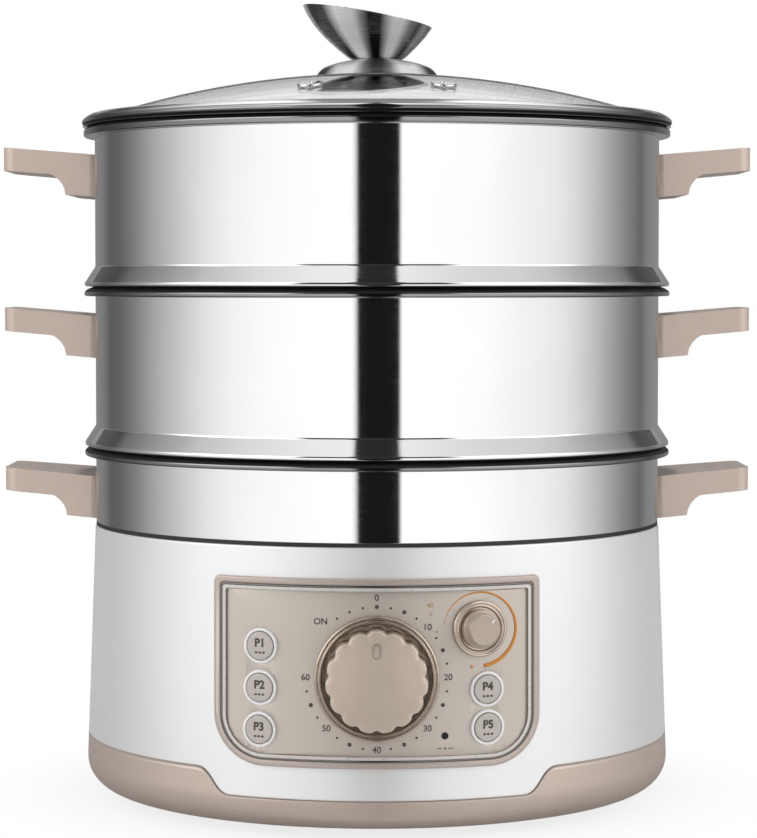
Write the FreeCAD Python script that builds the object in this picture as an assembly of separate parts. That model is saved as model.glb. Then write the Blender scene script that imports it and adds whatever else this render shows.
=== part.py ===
import FreeCAD, Part
import math
import os

from FreeCAD import Vector

# Electric food steamer: a heated base with a fixed water pot, two stacked steel tiers, a domed glass lid.
# Millimetres. Origin on the vertical axis at the level of the feet, +Z up, front towards -Y.

# steel shells
WALL_R = 140.0  # outer radius of the pot and tier walls
SHEET = 0.8  # steel sheet
RIM_OUT = 5.5  # how far a rolled rim stands out from its wall
RIM_H = 4.6  # height of a rolled rim
RIM_BEVEL = 1.4  # rounding of a rolled rim
TIER_H = 78.4  # height a tier adds to the stack
FLARE_OUT = 5.3  # how far a tier's foot flares over the rim below
FLARE_H = 10.0
FLARE_EDGE = 1.6
SPIGOT_H = 9.0  # depth of a tier's spigot in the rim below
SPIGOT_GAP = 0.6  # play between a spigot and the wall round it
LEDGE_W = 7.0  # inner ledge that carries a steam plate

# steam plates
PLATE_T = 1.0
PLATE_PLAY = 3.0  # between a plate's edge and the wall round it, clear of the handle screws
HOLE_R = 5.0
HOLE_PITCH = 34.0  # between the rings of steam holes
HOLE_RINGS = 3  # rings round the middle hole, with six more holes in each

# base
FOOT_H = 4.0
FOOT_R = 9.0
FOOT_RING_R = 104.0
FOOT_PEG_R = 4.0
FOOT_PEG_H = 4.0
SKIRT_H = 27.0  # coloured skirt, above the feet
HOUSING_H = 102.9  # white housing, above the skirt
HOUSING_LIP = 0.4  # how far the housing's top stands out from the wall
HOUSING_FLARE = 3.9  # how much wider it is at the skirt
SHELL_T = 2.4  # moulded wall
CORNER_OUT = 14.3  # skirt's rounded bottom corner, inwards
CORNER_H = 15.6
CORNER_MID_OUT = 4.3  # middle of the corner's arc, in from its upper end
CORNER_MID_UP = 4.4  # and above its foot
LAP_H = 6.0  # lap joint behind the parting line
LAP_T = 1.6
PART_GAP = 0.3  # parting line
TONGUE_DROP = 12.0  # how far the housing reaches down over the skirt at the front
TONGUE_HALF_W = 67.0
TONGUE_RUN = 16.0  # width of the S-curve at each end of the tongue
SEAL_H = 1.7
POT_BAND_H = 37.4  # visible steel band of the pot, with its rim
POT_NECK_H = 15.4
WELL_R = 100.0  # outer radius of the water well
WELL_H = 38.0
WELL_GAP = 0.6  # pot neck to housing
COVER_FLANGE = 5.0  # how far the bottom cover overlaps the skirt's floor
COVER_T = 2.5
FLOOR_W = 12.0  # skirt's floor ring, inwards from the corner
SLOTS = 12  # cooling slots in the bottom cover
SLOT_AT = 40.0
SLOT_L = 30.0
SLOT_W = 4.0
COVER_SCREW_R = 1.4
COVER_SCREW_HEAD = 1.6
FIT = 0.3  # clearance between separate pieces

# handles
HANDLE_REACH = 43.3  # from the wall to a handle's end
HANDLE_DROP = 10.2  # from the rim's top down to the handle's upper edge at its end
LIP_T = 11.4  # thickness of the outer lip
BLOCK_T = 20.6  # thickness next to the wall
HANDLE_SLOPE = 4.9  # degrees, upwards and outwards
BLOCK_REACH = 12.0  # from the wall to the step
STEP_RUN = 7.0  # width of the S-shaped step
HANDLE_W = 68.0  # width at the wall
HANDLE_END_W = 52.0
HANDLE_CORNER_R = 6.0
HANDLE_EDGE_R = 1.5
WALL_SEAT = 0.1  # handle face to steel wall
SCREW_SPREAD = 34.0  # between a handle's two screws
SCREW_R = 1.9
SCREW_HEAD_R = 3.8
SCREW_HEAD_T = 2.0
SCREW_LEN = 11.0
SCREW_PLAY = 0.1

# lid
GLASS_T = 3.2
DOME_R = 440.0  # radius of the glass dome
LID_RIM_H = 6.5
LID_RIM_OUT = 5.2
LID_FLANGE_OUT = 6.6
LID_LIP_W = 9.2  # width of the rim over the glass
LID_BEVEL = 3.4
LID_SPIGOT_H = 5.0
GLASS_PLAY = 0.6
VENT_X = 31.0
VENT_Y = -97.0
VENT_R = 4.0
GROMMET_R = 6.0
GROMMET_T = 1.6
GROMMET_EDGE = 0.6
VENT_BORE_R = 1.6

# lid knob
KNOB_SKIRT_R = 30.4
KNOB_SKIRT_H = 8.5
KNOB_NECK_R = 12.7
BOWL_PROFILE = ((3.2, 2.5), (7.6, 6.5), (12.6, 11.5), (17.0, 17.0), (20.6, 23.5), (22.4, 29.0))  # out, up
BOWL_WALL = 1.0
BOWL_TILT = 10.1  # degrees, left side high
BOWL_LEAN = 5.0  # degrees, the bowl swept to the left
BOWL_MID_H = 20.6  # height of the slanted rim on the axis, above the neck
CORE_SUNK = 2.0
KNOB_SCREW_R = 3.0
KNOB_SCREW_DEPTH = 9.0
WASHER_R = 15.0
WASHER_T = 1.5

# control panel
PANEL_HALF_W = 74.7
PANEL_LOW = 2.8  # above the parting line
PANEL_H = 86.0
PANEL_LOW_R = 23.0  # lower corners
PANEL_TOP_R = 3.0
FRAME_W = 3.2
FRAME_RISE = 1.8
TRIM_W = 2.4
TRIM_RISE = 2.2
PANEL_RISE = 1.2
WINDOW_INSET = 8.0  # window in the housing, from the panel's edge
WINDOW_R = 12.0

# timer
TIMER_UP = 43.9  # above the parting line
DIAL_R = 28.4
DIAL_FACE = 3.2  # front of the dial ring, in front of the panel
DIAL_WALL = 3.2
DIAL_BED = 1.4  # bed under the knob
KNOB_R = 23.3
KNOB_LOBES = 15
LOBE_DEPTH = 1.4
KNOB_FRONT = 14.0  # front of the knob, in front of the panel
KNOB_LIFT = 0.5  # running gap under the knob
KNOB_CHAMFER = 1.6
POINTER_W = 3.4
POINTER_L = 6.8
POINTER_AT = 14.1
POINTER_T = 0.6
SHAFT_R = 3.0
SHAFT_FIT = 0.06
SHAFT_GRIP = 8.0
SHAFT_IN = 12.0  # length of shaft inside the timer
TIMER_W = 48.0
TIMER_D = 22.0
TIMER_BACK = 3.0  # from the panel's back to the timer
TIMER_POST_R = 3.5
TIMER_POST_AT = 18.0
BUSH_R = 5.5

# heat knob
HEAT_TURN = 19.0  # degrees round the axis, towards +X
HEAT_UP = 65.5
HEAT_RING_R = 12.9
HEAT_RING_FACE = 1.7
HEAT_RING_W = 2.8
HEAT_BED = 0.8  # bed under the knob, clear of the panel's taper
HEAT_FLANGE_R = 9.0
HEAT_FLANGE_T = 3.0
HEAT_KNOB_R = 7.4
HEAT_FRONT = 7.5
HEAT_MARK_TURN = 45.0
HEAT_SHAFT_R = 2.0
HEAT_BORE_PLAY = 1.6  # shaft to the bezel's bore
HEAT_SHAFT_IN = 8.0
HEAT_GRIP = 5.0
SWITCH_W = 21.0
SWITCH_D = 16.0
SWITCH_POST_AT = 8.0
POST_R = 1.8

# preset buttons: three on the left, two on the right
LEFT_TURN = -21.6  # degrees round the axis
RIGHT_TURN = 20.3
LEFT_LOW_UP = 19.4  # lowest button, above the parting line
LEFT_PITCH = 19.05
RIGHT_LOW_UP = 20.6
RIGHT_PITCH = 17.3
BUTTON_R = 6.5
SLEEVE_T = 0.5
RING_R = 8.0
RING_RISE = 0.9
BUTTON_RISE = 1.3
BUTTON_TRAVEL = 1.5
BOARD_T = 1.6
BOARD_W = 20.0
KEY_W = 6.0
KEY_H = 2.0
KEY_GAP = 1.4  # key switch behind a pressed button
BOARD_OVER = 12.0  # board beyond the outer buttons
STEM_BACK = 7.6  # from the panel's face to the back of a button's stem
STEM_IN = 2.0  # stem narrower than the button
STOP_BACK = 4.4  # front of the flange behind the panel
STOP_T = 1.2
LAMP_TURN = 12.3
LAMP_UP = 17.5
LENS_R = 1.6
LENS_L = 4.0
LAMP_R = 2.5
LAMP_L = 5.0

# heater
HEATER_R = 72.0
HEATER_T = 6.0
TUBE_RING_R = 52.0
TUBE_W = 8.0
TUBE_H = 6.0
TUBE_ANGLE = 300.0
TUBE_LEG = 10.0
THERMO_R = 12.0
THERMO_H = 9.0
THERMO_RIM = 3.0
FUSE_R = 2.5
FUSE_L = 14.0
FUSE_X = 26.0

# power inlet, at the back
INLET_UP = 30.0  # above the parting line
INLET_W = 44.0
INLET_H = 32.0
INLET_OUT = 15.0  # from the wall radius to the collar's face
INLET_BACK = 8.0  # thickness behind the socket, which the pins go through
INLET_CORNER = 6.0
SOCKET_W = 25.0
SOCKET_H = 17.0
SOCKET_D = 19.0
SOCKET_CHAMFER = 4.5
PIN_SPREAD = 14.0
PIN_W = 2.0
PIN_H = 4.0
PIN_L = 15.0
PIN_DROP = 4.0

# heights and radii that follow
skirt_z = FOOT_H
split_z = skirt_z + SKIRT_H
housing_top_z = split_z + HOUSING_H
band_z = housing_top_z + SEAL_H
pot_rim_z = band_z + POT_BAND_H
lower_rim_z = pot_rim_z + TIER_H
upper_rim_z = lower_rim_z + TIER_H
inner_r = WALL_R - SHEET
housing_top_r = WALL_R + HOUSING_LIP
housing_low_r = housing_top_r + HOUSING_FLARE
spigot_r = inner_r - SPIGOT_GAP
neck_r = housing_top_r - SHELL_T - WELL_GAP
shoulder_z = band_z - POT_NECK_H
well_floor_z = shoulder_z - WELL_H
glass_r = inner_r - GLASS_PLAY
glass_seat_z = upper_rim_z + SHEET + WALL_SEAT
dome_centre_z = glass_seat_z - math.sqrt((DOME_R - GLASS_T) ** 2 - glass_r**2)
inlet_face = WALL_R + INLET_OUT
BUTTONS = (
    (LEFT_TURN, LEFT_LOW_UP + 2 * LEFT_PITCH),
    (LEFT_TURN, LEFT_LOW_UP + LEFT_PITCH),
    (LEFT_TURN, LEFT_LOW_UP),
    (RIGHT_TURN, RIGHT_LOW_UP + RIGHT_PITCH),
    (RIGHT_TURN, RIGHT_LOW_UP),
)


def outline(start, *steps):
    """Closed face in the r-z plane. A step is a point for a line, or (middle, end) for an arc."""
    edges = []
    here = Vector(start[0], 0, start[1])
    for step in steps + (start,):
        if isinstance(step[0], tuple):
            middle = Vector(step[0][0], 0, step[0][1])
            end = Vector(step[1][0], 0, step[1][1])
            edges.append(Part.Arc(here, middle, end).toShape())
        else:
            end = Vector(step[0], 0, step[1])
            if (end - here).Length > 1e-6:
                edges.append(Part.LineSegment(here, end).toShape())
        here = end
    return Part.Face(Part.Wire(edges))


def spun(start, *steps, angle=360.0):
    """Solid of revolution about Z, from an outline."""
    solid = outline(start, *steps).revolve(Vector(0, 0, 0), Vector(0, 0, 1), angle)
    return solid if solid.Volume > 0 else solid.reversed()


def disc(r, z0, z1, x=0.0, y=0.0):
    return Part.makeCylinder(r, z1 - z0, Vector(x, y, z0))


def ring(r_in, r_out, z0, z1):
    return spun((r_in, z0), (r_out, z0), (r_out, z1), (r_in, z1))


def save(name, shape):
    shape.exportStep("parts/" + name + ".step")


def housing_r(z):
    """Outer radius of the base housing at a height."""
    return housing_low_r + (housing_top_r - housing_low_r) * (z - split_z) / HOUSING_H


def facing(shape, turn, up, radius):
    """Take a piece built along +Z to the front, facing outwards, at an angle round the axis and a height."""
    out = shape.copy()
    out.rotate(Vector(0, 0, 0), Vector(1, 0, 0), 90)
    out.translate(Vector(0, -radius, up))
    out.rotate(Vector(0, 0, 0), Vector(0, 0, 1), turn)
    return out


def cone_shell(inside, outside, z0, z1, half_angle=45.0):
    """Front part of a shell that follows the housing's taper, between two offsets from its surface."""
    wall = spun(
        (housing_r(z0) + inside, z0),
        (housing_r(z0) + outside, z0),
        (housing_r(z1) + outside, z1),
        (housing_r(z1) + inside, z1),
        angle=2 * half_angle,
    )
    wall.rotate(Vector(0, 0, 0), Vector(0, 0, 1), -90 - half_angle)
    return wall


def panel_prism(inset, low_r, top_r):
    """Panel outline, drawn from the front and extruded through the front wall."""
    half = PANEL_HALF_W - inset
    low = split_z + PANEL_LOW + inset
    top = split_z + PANEL_LOW + PANEL_H - inset
    y = -2 * WALL_R
    corners = ((half, low, low_r), (half, top, top_r), (-half, top, top_r), (-half, low, low_r))
    edges = []
    last = None
    first = None
    for x, z, r in corners:
        sx = math.copysign(1, x)
        sz = 1 if z == top else -1
        middle = Vector(x - sx * r * (1 - math.sqrt(0.5)), y, z - sz * r * (1 - math.sqrt(0.5)))
        on_side = Vector(x, y, z - sz * r)
        on_end = Vector(x - sx * r, y, z)
        start, end = (on_end, on_side) if sx * sz < 0 else (on_side, on_end)
        if last is not None:
            edges.append(Part.LineSegment(last, start).toShape())
        else:
            first = start
        edges.append(Part.Arc(start, middle, end).toShape())
        last = end
    edges.append(Part.LineSegment(last, first).toShape())
    return Part.Face(Part.Wire(edges)).extrude(Vector(0, 2 * WALL_R, 0))


# steel shells


def rim_steps(top, wall_in):
    """Rolled rim, from its underside at the wall over to the inner edge of its top."""
    out = WALL_R + RIM_OUT
    return (
        (WALL_R, top - RIM_H),
        (out - RIM_BEVEL, top - RIM_H),
        (out, top - RIM_H + RIM_BEVEL),
        (out, top - RIM_BEVEL),
        (out - RIM_BEVEL, top),
        (wall_in, top),
    )


def tier_shell(seat):
    """Drawn tier wall: ledge and spigot below, flared foot on the rim below, rolled rim on top."""
    low = seat - SPIGOT_H
    out = WALL_R + FLARE_OUT
    slope = SHEET * 1.1
    return spun(
        (spigot_r - LEDGE_W, low),
        (spigot_r, low),
        (spigot_r, seat),
        (out - FLARE_EDGE, seat),
        (out, seat + FLARE_EDGE),
        (out, seat + 2 * FLARE_EDGE),
        (WALL_R, seat + FLARE_H),
        *rim_steps(seat + TIER_H, inner_r),
        (inner_r, seat + FLARE_H - SHEET / 2),
        (out - slope, seat + 2 * FLARE_EDGE - SHEET / 2),
        (out - slope, seat + SHEET),
        (spigot_r - SHEET, seat + SHEET),
        (spigot_r - SHEET, low + SHEET),
        (spigot_r - LEDGE_W, low + SHEET),
    )


def screw_holes(top, side):
    """Clearance holes for a handle's screws, through the wall and into the handle."""
    z = handle_mid_z(top)
    holes = []
    for y in (-SCREW_SPREAD / 2, SCREW_SPREAD / 2):
        start = Vector(side * (inner_r - 2 * SCREW_HEAD_R), y, z)
        reach = SCREW_LEN + 2 * SCREW_HEAD_R
        holes.append(Part.makeCylinder(SCREW_R + SCREW_PLAY, reach, start, Vector(side, 0, 0)))
    return holes


def handle_mid_z(top):
    """Height of a handle's screws: the middle of its inner block at the wall."""
    drop = (HANDLE_REACH + WALL_R - screw_wall_x()) * math.tan(math.radians(HANDLE_SLOPE))
    return top - HANDLE_DROP - drop - BLOCK_T / 2


def screw_wall_x():
    """Distance from the axis to the inside of the wall at a screw."""
    return math.sqrt(inner_r**2 - (SCREW_SPREAD / 2) ** 2)


def drilled(shell, top):
    for side in (-1, 1):
        for hole in screw_holes(top, side):
            shell = shell.cut(hole)
    return shell


def handle(top, side):
    """Moulded handle: a sloping bar with a deep inner block and a thin outer lip, hollow under the lip."""
    slope = math.tan(math.radians(HANDLE_SLOPE))
    end = WALL_R + HANDLE_REACH
    start = WALL_R - HANDLE_REACH
    top_z = top - HANDLE_DROP

    def z_at(x, below):
        return top_z - (end - x) * slope - below

    step_in = WALL_R + BLOCK_REACH
    step_out = step_in + STEP_RUN
    middle = (step_in + step_out) / 2
    deep, thin = z_at(step_in, BLOCK_T), z_at(step_out, LIP_T)
    knee = z_at(middle, (BLOCK_T + LIP_T) / 2)
    bulge = 0.3 * STEP_RUN
    lower = Part.Arc(Vector(step_in, 0, deep), Vector(middle - 0.4 * bulge, 0, deep + bulge),
                     Vector(middle, 0, knee))
    upper = Part.Arc(Vector(middle, 0, knee), Vector(middle + 0.4 * bulge, 0, thin - bulge),
                     Vector(step_out, 0, thin))
    bevel = HANDLE_EDGE_R
    places = ((step_in, BLOCK_T), (start, BLOCK_T), (start, 0), (end - bevel, 0), (end, bevel),
              (end, LIP_T - bevel), (end - bevel, LIP_T), (step_out, LIP_T))
    corners = [Vector(x, 0, z_at(x, below)) for x, below in places]
    edges = [Part.LineSegment(a, b).toShape() for a, b in zip(corners, corners[1:])]
    edges += [upper.toShape(), lower.toShape()]
    bar = Part.Face(Part.Wire(edges)).extrude(Vector(0, HANDLE_W, 0))
    bar.translate(Vector(0, -HANDLE_W / 2, 0))
    bar = bar.common(handle_plan(end, top_z))
    bar = bar.cut(disc(WALL_R + WALL_SEAT, top_z - 2 * HANDLE_W, top_z + 2 * HANDLE_W))
    if side < 0:
        bar = bar.mirror(Vector(0, 0, 0), Vector(1, 0, 0))
    for hole in screw_holes(top, side):
        bar = bar.cut(hole)
    return bar


def handle_plan(end, top_z):
    """Plan of a handle, an ear that narrows outwards with rounded corners, as a tall prism."""
    half, half_end, r = HANDLE_W / 2, HANDLE_END_W / 2, HANDLE_CORNER_R
    wall_x = WALL_R - HANDLE_REACH
    points = [Vector(wall_x, -half, 0), Vector(WALL_R, -half, 0), Vector(end, -half_end, 0),
              Vector(end, half_end, 0), Vector(WALL_R, half, 0), Vector(wall_x, half, 0)]
    face = Part.Face(Part.makePolygon(points + [points[0]]))
    prism = face.extrude(Vector(0, 0, 2 * HANDLE_W))
    corners = [e for e in prism.Edges
               if abs(e.Vertexes[0].X - end) < 1e-6 and abs(e.Vertexes[1].X - end) < 1e-6
               and abs(e.Vertexes[0].Z - e.Vertexes[1].Z) > 1]
    prism = prism.makeFillet(r, corners)
    prism.translate(Vector(0, 0, top_z - HANDLE_W))
    return prism


def handle_screws(top):
    """Pan-head screws, from inside the wall into the handles."""
    z = handle_mid_z(top)
    flank = math.sqrt(inner_r**2 - (SCREW_SPREAD / 2 + SCREW_HEAD_R) ** 2) - FIT
    screws = []
    for side in (-1, 1):
        out = Vector(side, 0, 0)
        for y in (-SCREW_SPREAD / 2, SCREW_SPREAD / 2):
            seat = Vector(side * flank, y, z)
            head = Part.makeCylinder(SCREW_HEAD_R, SCREW_HEAD_T, seat - out * SCREW_HEAD_T, out)
            shank = Part.makeCylinder(SCREW_R, SCREW_LEN, seat, out)
            screws.append(head.fuse(shank).removeSplitter())
    return Part.makeCompound(screws)


def steam_plate(seat):
    """Perforated plate that lies on a tier's ledge."""
    z = seat - SPIGOT_H + SHEET
    plate = disc(spigot_r - SHEET - PLATE_PLAY, z, z + PLATE_T)
    holes = []
    for number in range(HOLE_RINGS + 1):
        r = number * HOLE_PITCH
        count = max(1, 6 * number)
        for i in range(count):
            a = 2 * math.pi * i / count
            holes.append(disc(HOLE_R, z - 1, z + PLATE_T + 1, r * math.cos(a), r * math.sin(a)))
    return plate.cut(Part.makeCompound(holes))


def water_pot():
    """Pressed pot: rim and visible band, neck inside the housing, shoulder and water well."""
    pot = spun(
        (0, well_floor_z - SHEET),
        (WELL_R, well_floor_z - SHEET),
        (WELL_R, shoulder_z - SHEET),
        (neck_r, shoulder_z - SHEET),
        (neck_r, band_z),
        (WALL_R, band_z),
        *rim_steps(pot_rim_z, inner_r),
        (inner_r, band_z + SHEET),
        (neck_r - SHEET, band_z + SHEET),
        (neck_r - SHEET, shoulder_z),
        (WELL_R - SHEET, shoulder_z),
        (WELL_R - SHEET, well_floor_z),
        (0, well_floor_z),
    )
    return drilled(pot, pot_rim_z)


# lid


def dome_z(r, below=0.0):
    """Height of the glass dome at a radius, or of a surface a given depth under it."""
    return dome_centre_z + math.sqrt((DOME_R - below) ** 2 - r**2)


def lid_glass():
    edge = glass_r
    bore = KNOB_SCREW_R + FIT
    half = edge / 2
    glass = spun(
        (bore, dome_z(bore, GLASS_T)),
        ((half, dome_z(half, GLASS_T)), (edge, dome_z(edge, GLASS_T))),
        (edge, dome_z(edge)),
        ((half, dome_z(half)), (bore, dome_z(bore))),
    )
    return glass.cut(at_vents(disc(VENT_R, -2 * GLASS_T, GLASS_T)))


def at_vents(shape):
    """Take a piece built along +Z to both vents, square to the glass, its origin on the outer surface."""
    out = []
    for x in (-VENT_X, VENT_X):
        place = Vector(x, VENT_Y, dome_z(math.hypot(x, VENT_Y)))
        square = place - Vector(0, 0, dome_centre_z)
        turned = shape.copy()
        turned.rotate(Vector(0, 0, 0), Vector(-square.y, square.x, 0), math.degrees(square.getAngle(Vector(0, 0, 1))))
        turned.translate(place)
        out.append(turned)
    return Part.makeCompound(out)


def vent_grommets():
    """Steel eyelets of the two steam vents, with a flange above and below the glass."""
    low, top = -GLASS_T - WALL_SEAT, WALL_SEAT
    return at_vents(spun(
        (VENT_BORE_R, low - GROMMET_T), (GROMMET_R, low - GROMMET_T), (GROMMET_R, low),
        (VENT_R - FIT, low), (VENT_R - FIT, top), (GROMMET_R, top), (GROMMET_R, top + GROMMET_T - GROMMET_EDGE),
        (GROMMET_R - GROMMET_EDGE, top + GROMMET_T), (VENT_BORE_R, top + GROMMET_T),
    ))


def lid_rim():
    """Steel band round the glass: spigot, flange on the tier's rim, rounded shoulder, lip over the glass."""
    z = upper_rim_z
    out = WALL_R + LID_RIM_OUT
    lip = out - LID_LIP_W
    top = z + LID_RIM_H
    glass_top = dome_z(lip)
    flange = WALL_R + LID_FLANGE_OUT
    return spun(
        (spigot_r - SHEET, z - LID_SPIGOT_H),
        (spigot_r, z - LID_SPIGOT_H),
        (spigot_r, z),
        (flange, z),
        (flange, z + 2 * SHEET),
        (out, z + 3 * SHEET),
        (out, top - LID_BEVEL),
        ((out - 0.3 * LID_BEVEL, top - 0.3 * LID_BEVEL), (out - LID_BEVEL, top)),
        (lip, glass_top + SHEET + WALL_SEAT),
        (lip, glass_top + WALL_SEAT),
        (out - LID_BEVEL, top - SHEET),
        (out - SHEET, top - LID_BEVEL),
        (out - SHEET, z + SHEET),
        (spigot_r - SHEET, z + SHEET),
    )


def bowl_outline(inset, floor):
    """Profile of the knob's bowl, its points moved inwards by a wall."""
    base = knob_neck_z()
    points = [(KNOB_NECK_R - inset, base + floor)]
    points += [(KNOB_NECK_R + out - inset, base + up) for out, up in BOWL_PROFILE]
    return points


def knob_neck_z():
    return dome_z(KNOB_SKIRT_R) + KNOB_SKIRT_H + WALL_SEAT


def above_slant(drop=0.0):
    """Half space over the knob's slanted rim, as a tilted block."""
    size = 8 * KNOB_SKIRT_R
    block = Part.makeBox(size, size, size, Vector(-size / 2, -size / 2, 0))
    block.rotate(Vector(0, 0, 0), Vector(0, 1, 0), BOWL_TILT)
    block.translate(Vector(0, 0, knob_neck_z() + BOWL_MID_H - drop))
    return block


def leaning(shape):
    """Sweep a piece of the knob to the left, more the higher above the neck."""
    sweep = FreeCAD.Matrix()
    sweep.A13 = -math.tan(math.radians(BOWL_LEAN))
    sweep.A14 = -sweep.A13 * knob_neck_z()
    return shape.transformGeometry(sweep)


def knob_bowl():
    """Stainless bowl with a slanted rim and a floor with a bore for the screw."""
    outer = bowl_outline(0, 0)
    inner = bowl_outline(BOWL_WALL, BOWL_WALL)
    top = outer[-1][1]
    bowl = spun((0, outer[0][1]), *outer, (inner[-1][0], top), *reversed(inner[:-1]), (0, inner[0][1]))
    base = outer[0][1]
    return leaning(bowl).cut(above_slant()).cut(disc(KNOB_SCREW_R + FIT, base - 1, base + 2 * BOWL_WALL))


def knob_core():
    """Moulded insert that fills the bowl and takes the screw."""
    inner = bowl_outline(BOWL_WALL + WALL_SEAT, BOWL_WALL)
    top = inner[-1][1]
    core = leaning(spun((0, inner[0][1]), *inner, (0, top))).cut(above_slant(CORE_SUNK))
    z = knob_neck_z()
    return core.cut(disc(KNOB_SCREW_R + SCREW_PLAY, z, z + KNOB_SCREW_DEPTH))


def knob_skirt():
    """Domed steel cap under the bowl, hollow below, seated on the glass."""
    z = dome_z(KNOB_SKIRT_R) + WALL_SEAT
    top = knob_neck_z()
    bore = KNOB_SCREW_R + FIT
    middle = (0.74 * KNOB_SKIRT_R, z + 0.7 * KNOB_SKIRT_H)
    hub = dome_z(bore) + WALL_SEAT
    hub_r = KNOB_NECK_R - 2 * SHEET
    return spun(
        (bore, hub),
        (hub_r, hub),
        (hub_r, top - 2 * SHEET),
        (middle[0] - SHEET, middle[1] - 1.5 * SHEET),
        (KNOB_SKIRT_R - SHEET, z),
        (KNOB_SKIRT_R, z),
        (middle, (KNOB_NECK_R, top)),
        (bore, top),
    )


def knob_screw():
    """Screw from under the glass up into the knob's insert."""
    head = dome_z(0, GLASS_T) - WALL_SEAT - WASHER_T
    top = knob_neck_z() + KNOB_SCREW_DEPTH - FIT
    return spun((0, head - SCREW_HEAD_T), (2 * KNOB_SCREW_R, head - SCREW_HEAD_T), (2 * KNOB_SCREW_R, head),
                (KNOB_SCREW_R, head), (KNOB_SCREW_R, top), (0, top))


def knob_washer():
    top = dome_z(WASHER_R, GLASS_T) - WALL_SEAT
    low = dome_z(0, GLASS_T) - WALL_SEAT - WASHER_T
    bore = KNOB_SCREW_R + FIT
    return spun((bore, low), (WASHER_R, low), (WASHER_R, top), (bore, low + WASHER_T))


# base


def tongue(gap):
    """Front view of the housing's tongue over the skirt, extruded through the front wall."""
    low = split_z - TONGUE_DROP - gap
    top = split_z - gap
    flat = TONGUE_HALF_W + gap
    edge = flat + TONGUE_RUN
    middle = (flat + edge) / 2
    y = -2 * WALL_R
    edges = [Part.LineSegment(Vector(-flat, y, low), Vector(flat, y, low)).toShape()]
    for side in (1, -1):
        poles = [Vector(side * flat, y, low), Vector(side * middle, y, low),
                 Vector(side * middle, y, top), Vector(side * edge, y, top)]
        curve = Part.BezierCurve()
        curve.setPoles(poles)
        edges.append(curve.toShape())
    lift = TONGUE_DROP
    corners = [Vector(x, y, z) for x, z in ((edge, top), (edge, top + lift), (-edge, top + lift), (-edge, top))]
    for a, b in zip(corners, corners[1:]):
        edges.append(Part.LineSegment(a, b).toShape())
    wire = Part.Wire(Part.__sortEdges__(edges))
    return Part.Face(wire).extrude(Vector(0, 2 * WALL_R - 1, 0))


def envelope(inside, outside, z0, z1):
    """Full shell of the base wall between two offsets inwards, from z0 to z1, on the housing's taper."""
    return spun(
        (housing_r(z0) - outside, z0), (housing_r(z0) - inside, z0),
        (housing_r(z1) - inside, z1), (housing_r(z1) - outside, z1),
    )


def base_housing():
    """White housing: tapered wall, tongue over the skirt, window behind the panel, opening for the inlet."""
    low = split_z - TONGUE_DROP
    wall = envelope(0, SHELL_T, low, housing_top_z)
    below = Part.makeBox(4 * WALL_R, 4 * WALL_R, TONGUE_DROP, Vector(-2 * WALL_R, -2 * WALL_R, low))
    wall = wall.cut(below.cut(tongue(0)))
    wall = wall.cut(panel_prism(WINDOW_INSET, WINDOW_R, WINDOW_R))
    return wall.cut(inlet_block(FIT))


def base_skirt():
    """Coloured skirt: floor ring, rounded corner, wall, and a lap behind the parting line."""
    z = skirt_z
    foot_r = skirt_foot_r()
    corner_r = housing_r(z + CORNER_H)
    t = SHELL_T
    middle = (corner_r - CORNER_MID_OUT, z + CORNER_MID_UP)
    top = split_z - PART_GAP
    lap = split_z + LAP_H
    floor_in = foot_r - FLOOR_W
    gap = PART_GAP
    skirt = spun(
        (floor_in, z),
        (foot_r, z),
        (middle, (corner_r, z + CORNER_H)),
        (housing_r(top), top),
        (housing_r(top) - t - gap, top),
        (housing_r(lap) - t - gap, lap),
        (housing_r(lap) - t - gap - LAP_T, lap),
        (corner_r - t - gap - LAP_T, z + CORNER_H),
        (middle[0] - t, middle[1] + t),
        (foot_r, z + t),
        (floor_in, z + t),
    )
    notch = tongue(gap).cut(
        spun((0, z), (housing_r(z) - t - gap, z), (housing_r(lap) - t - gap, lap), (0, lap))
    )
    return skirt.cut(notch).cut(cover_holes())


def skirt_foot_r():
    return housing_low_r - CORNER_OUT


def cover_r():
    return skirt_foot_r() - FLOOR_W - FIT


def foot_places():
    for i in range(4):
        a = math.radians(45 + 90 * i)
        yield FOOT_RING_R * math.cos(a), FOOT_RING_R * math.sin(a)


def cover_screw_places():
    """Through the skirt's floor ring into the cover's flange."""
    r = cover_r() + FIT + COVER_FLANGE / 2
    for i in range(4):
        a = math.radians(90 * i)
        yield r * math.cos(a), r * math.sin(a)


def cover_holes():
    z = skirt_z
    return Part.makeCompound([disc(COVER_SCREW_R + WALL_SEAT, z - 1, z + SHELL_T + 2 * COVER_T, x, y)
                              for x, y in cover_screw_places()])


def cover_screws():
    out = []
    for x, y in cover_screw_places():
        head = disc(2 * COVER_SCREW_R, skirt_z - COVER_SCREW_HEAD, skirt_z, x, y)
        shank = disc(COVER_SCREW_R, skirt_z, skirt_z + SHELL_T + COVER_T, x, y)
        out.append(head.fuse(shank).removeSplitter())
    return Part.makeCompound(out)


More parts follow.
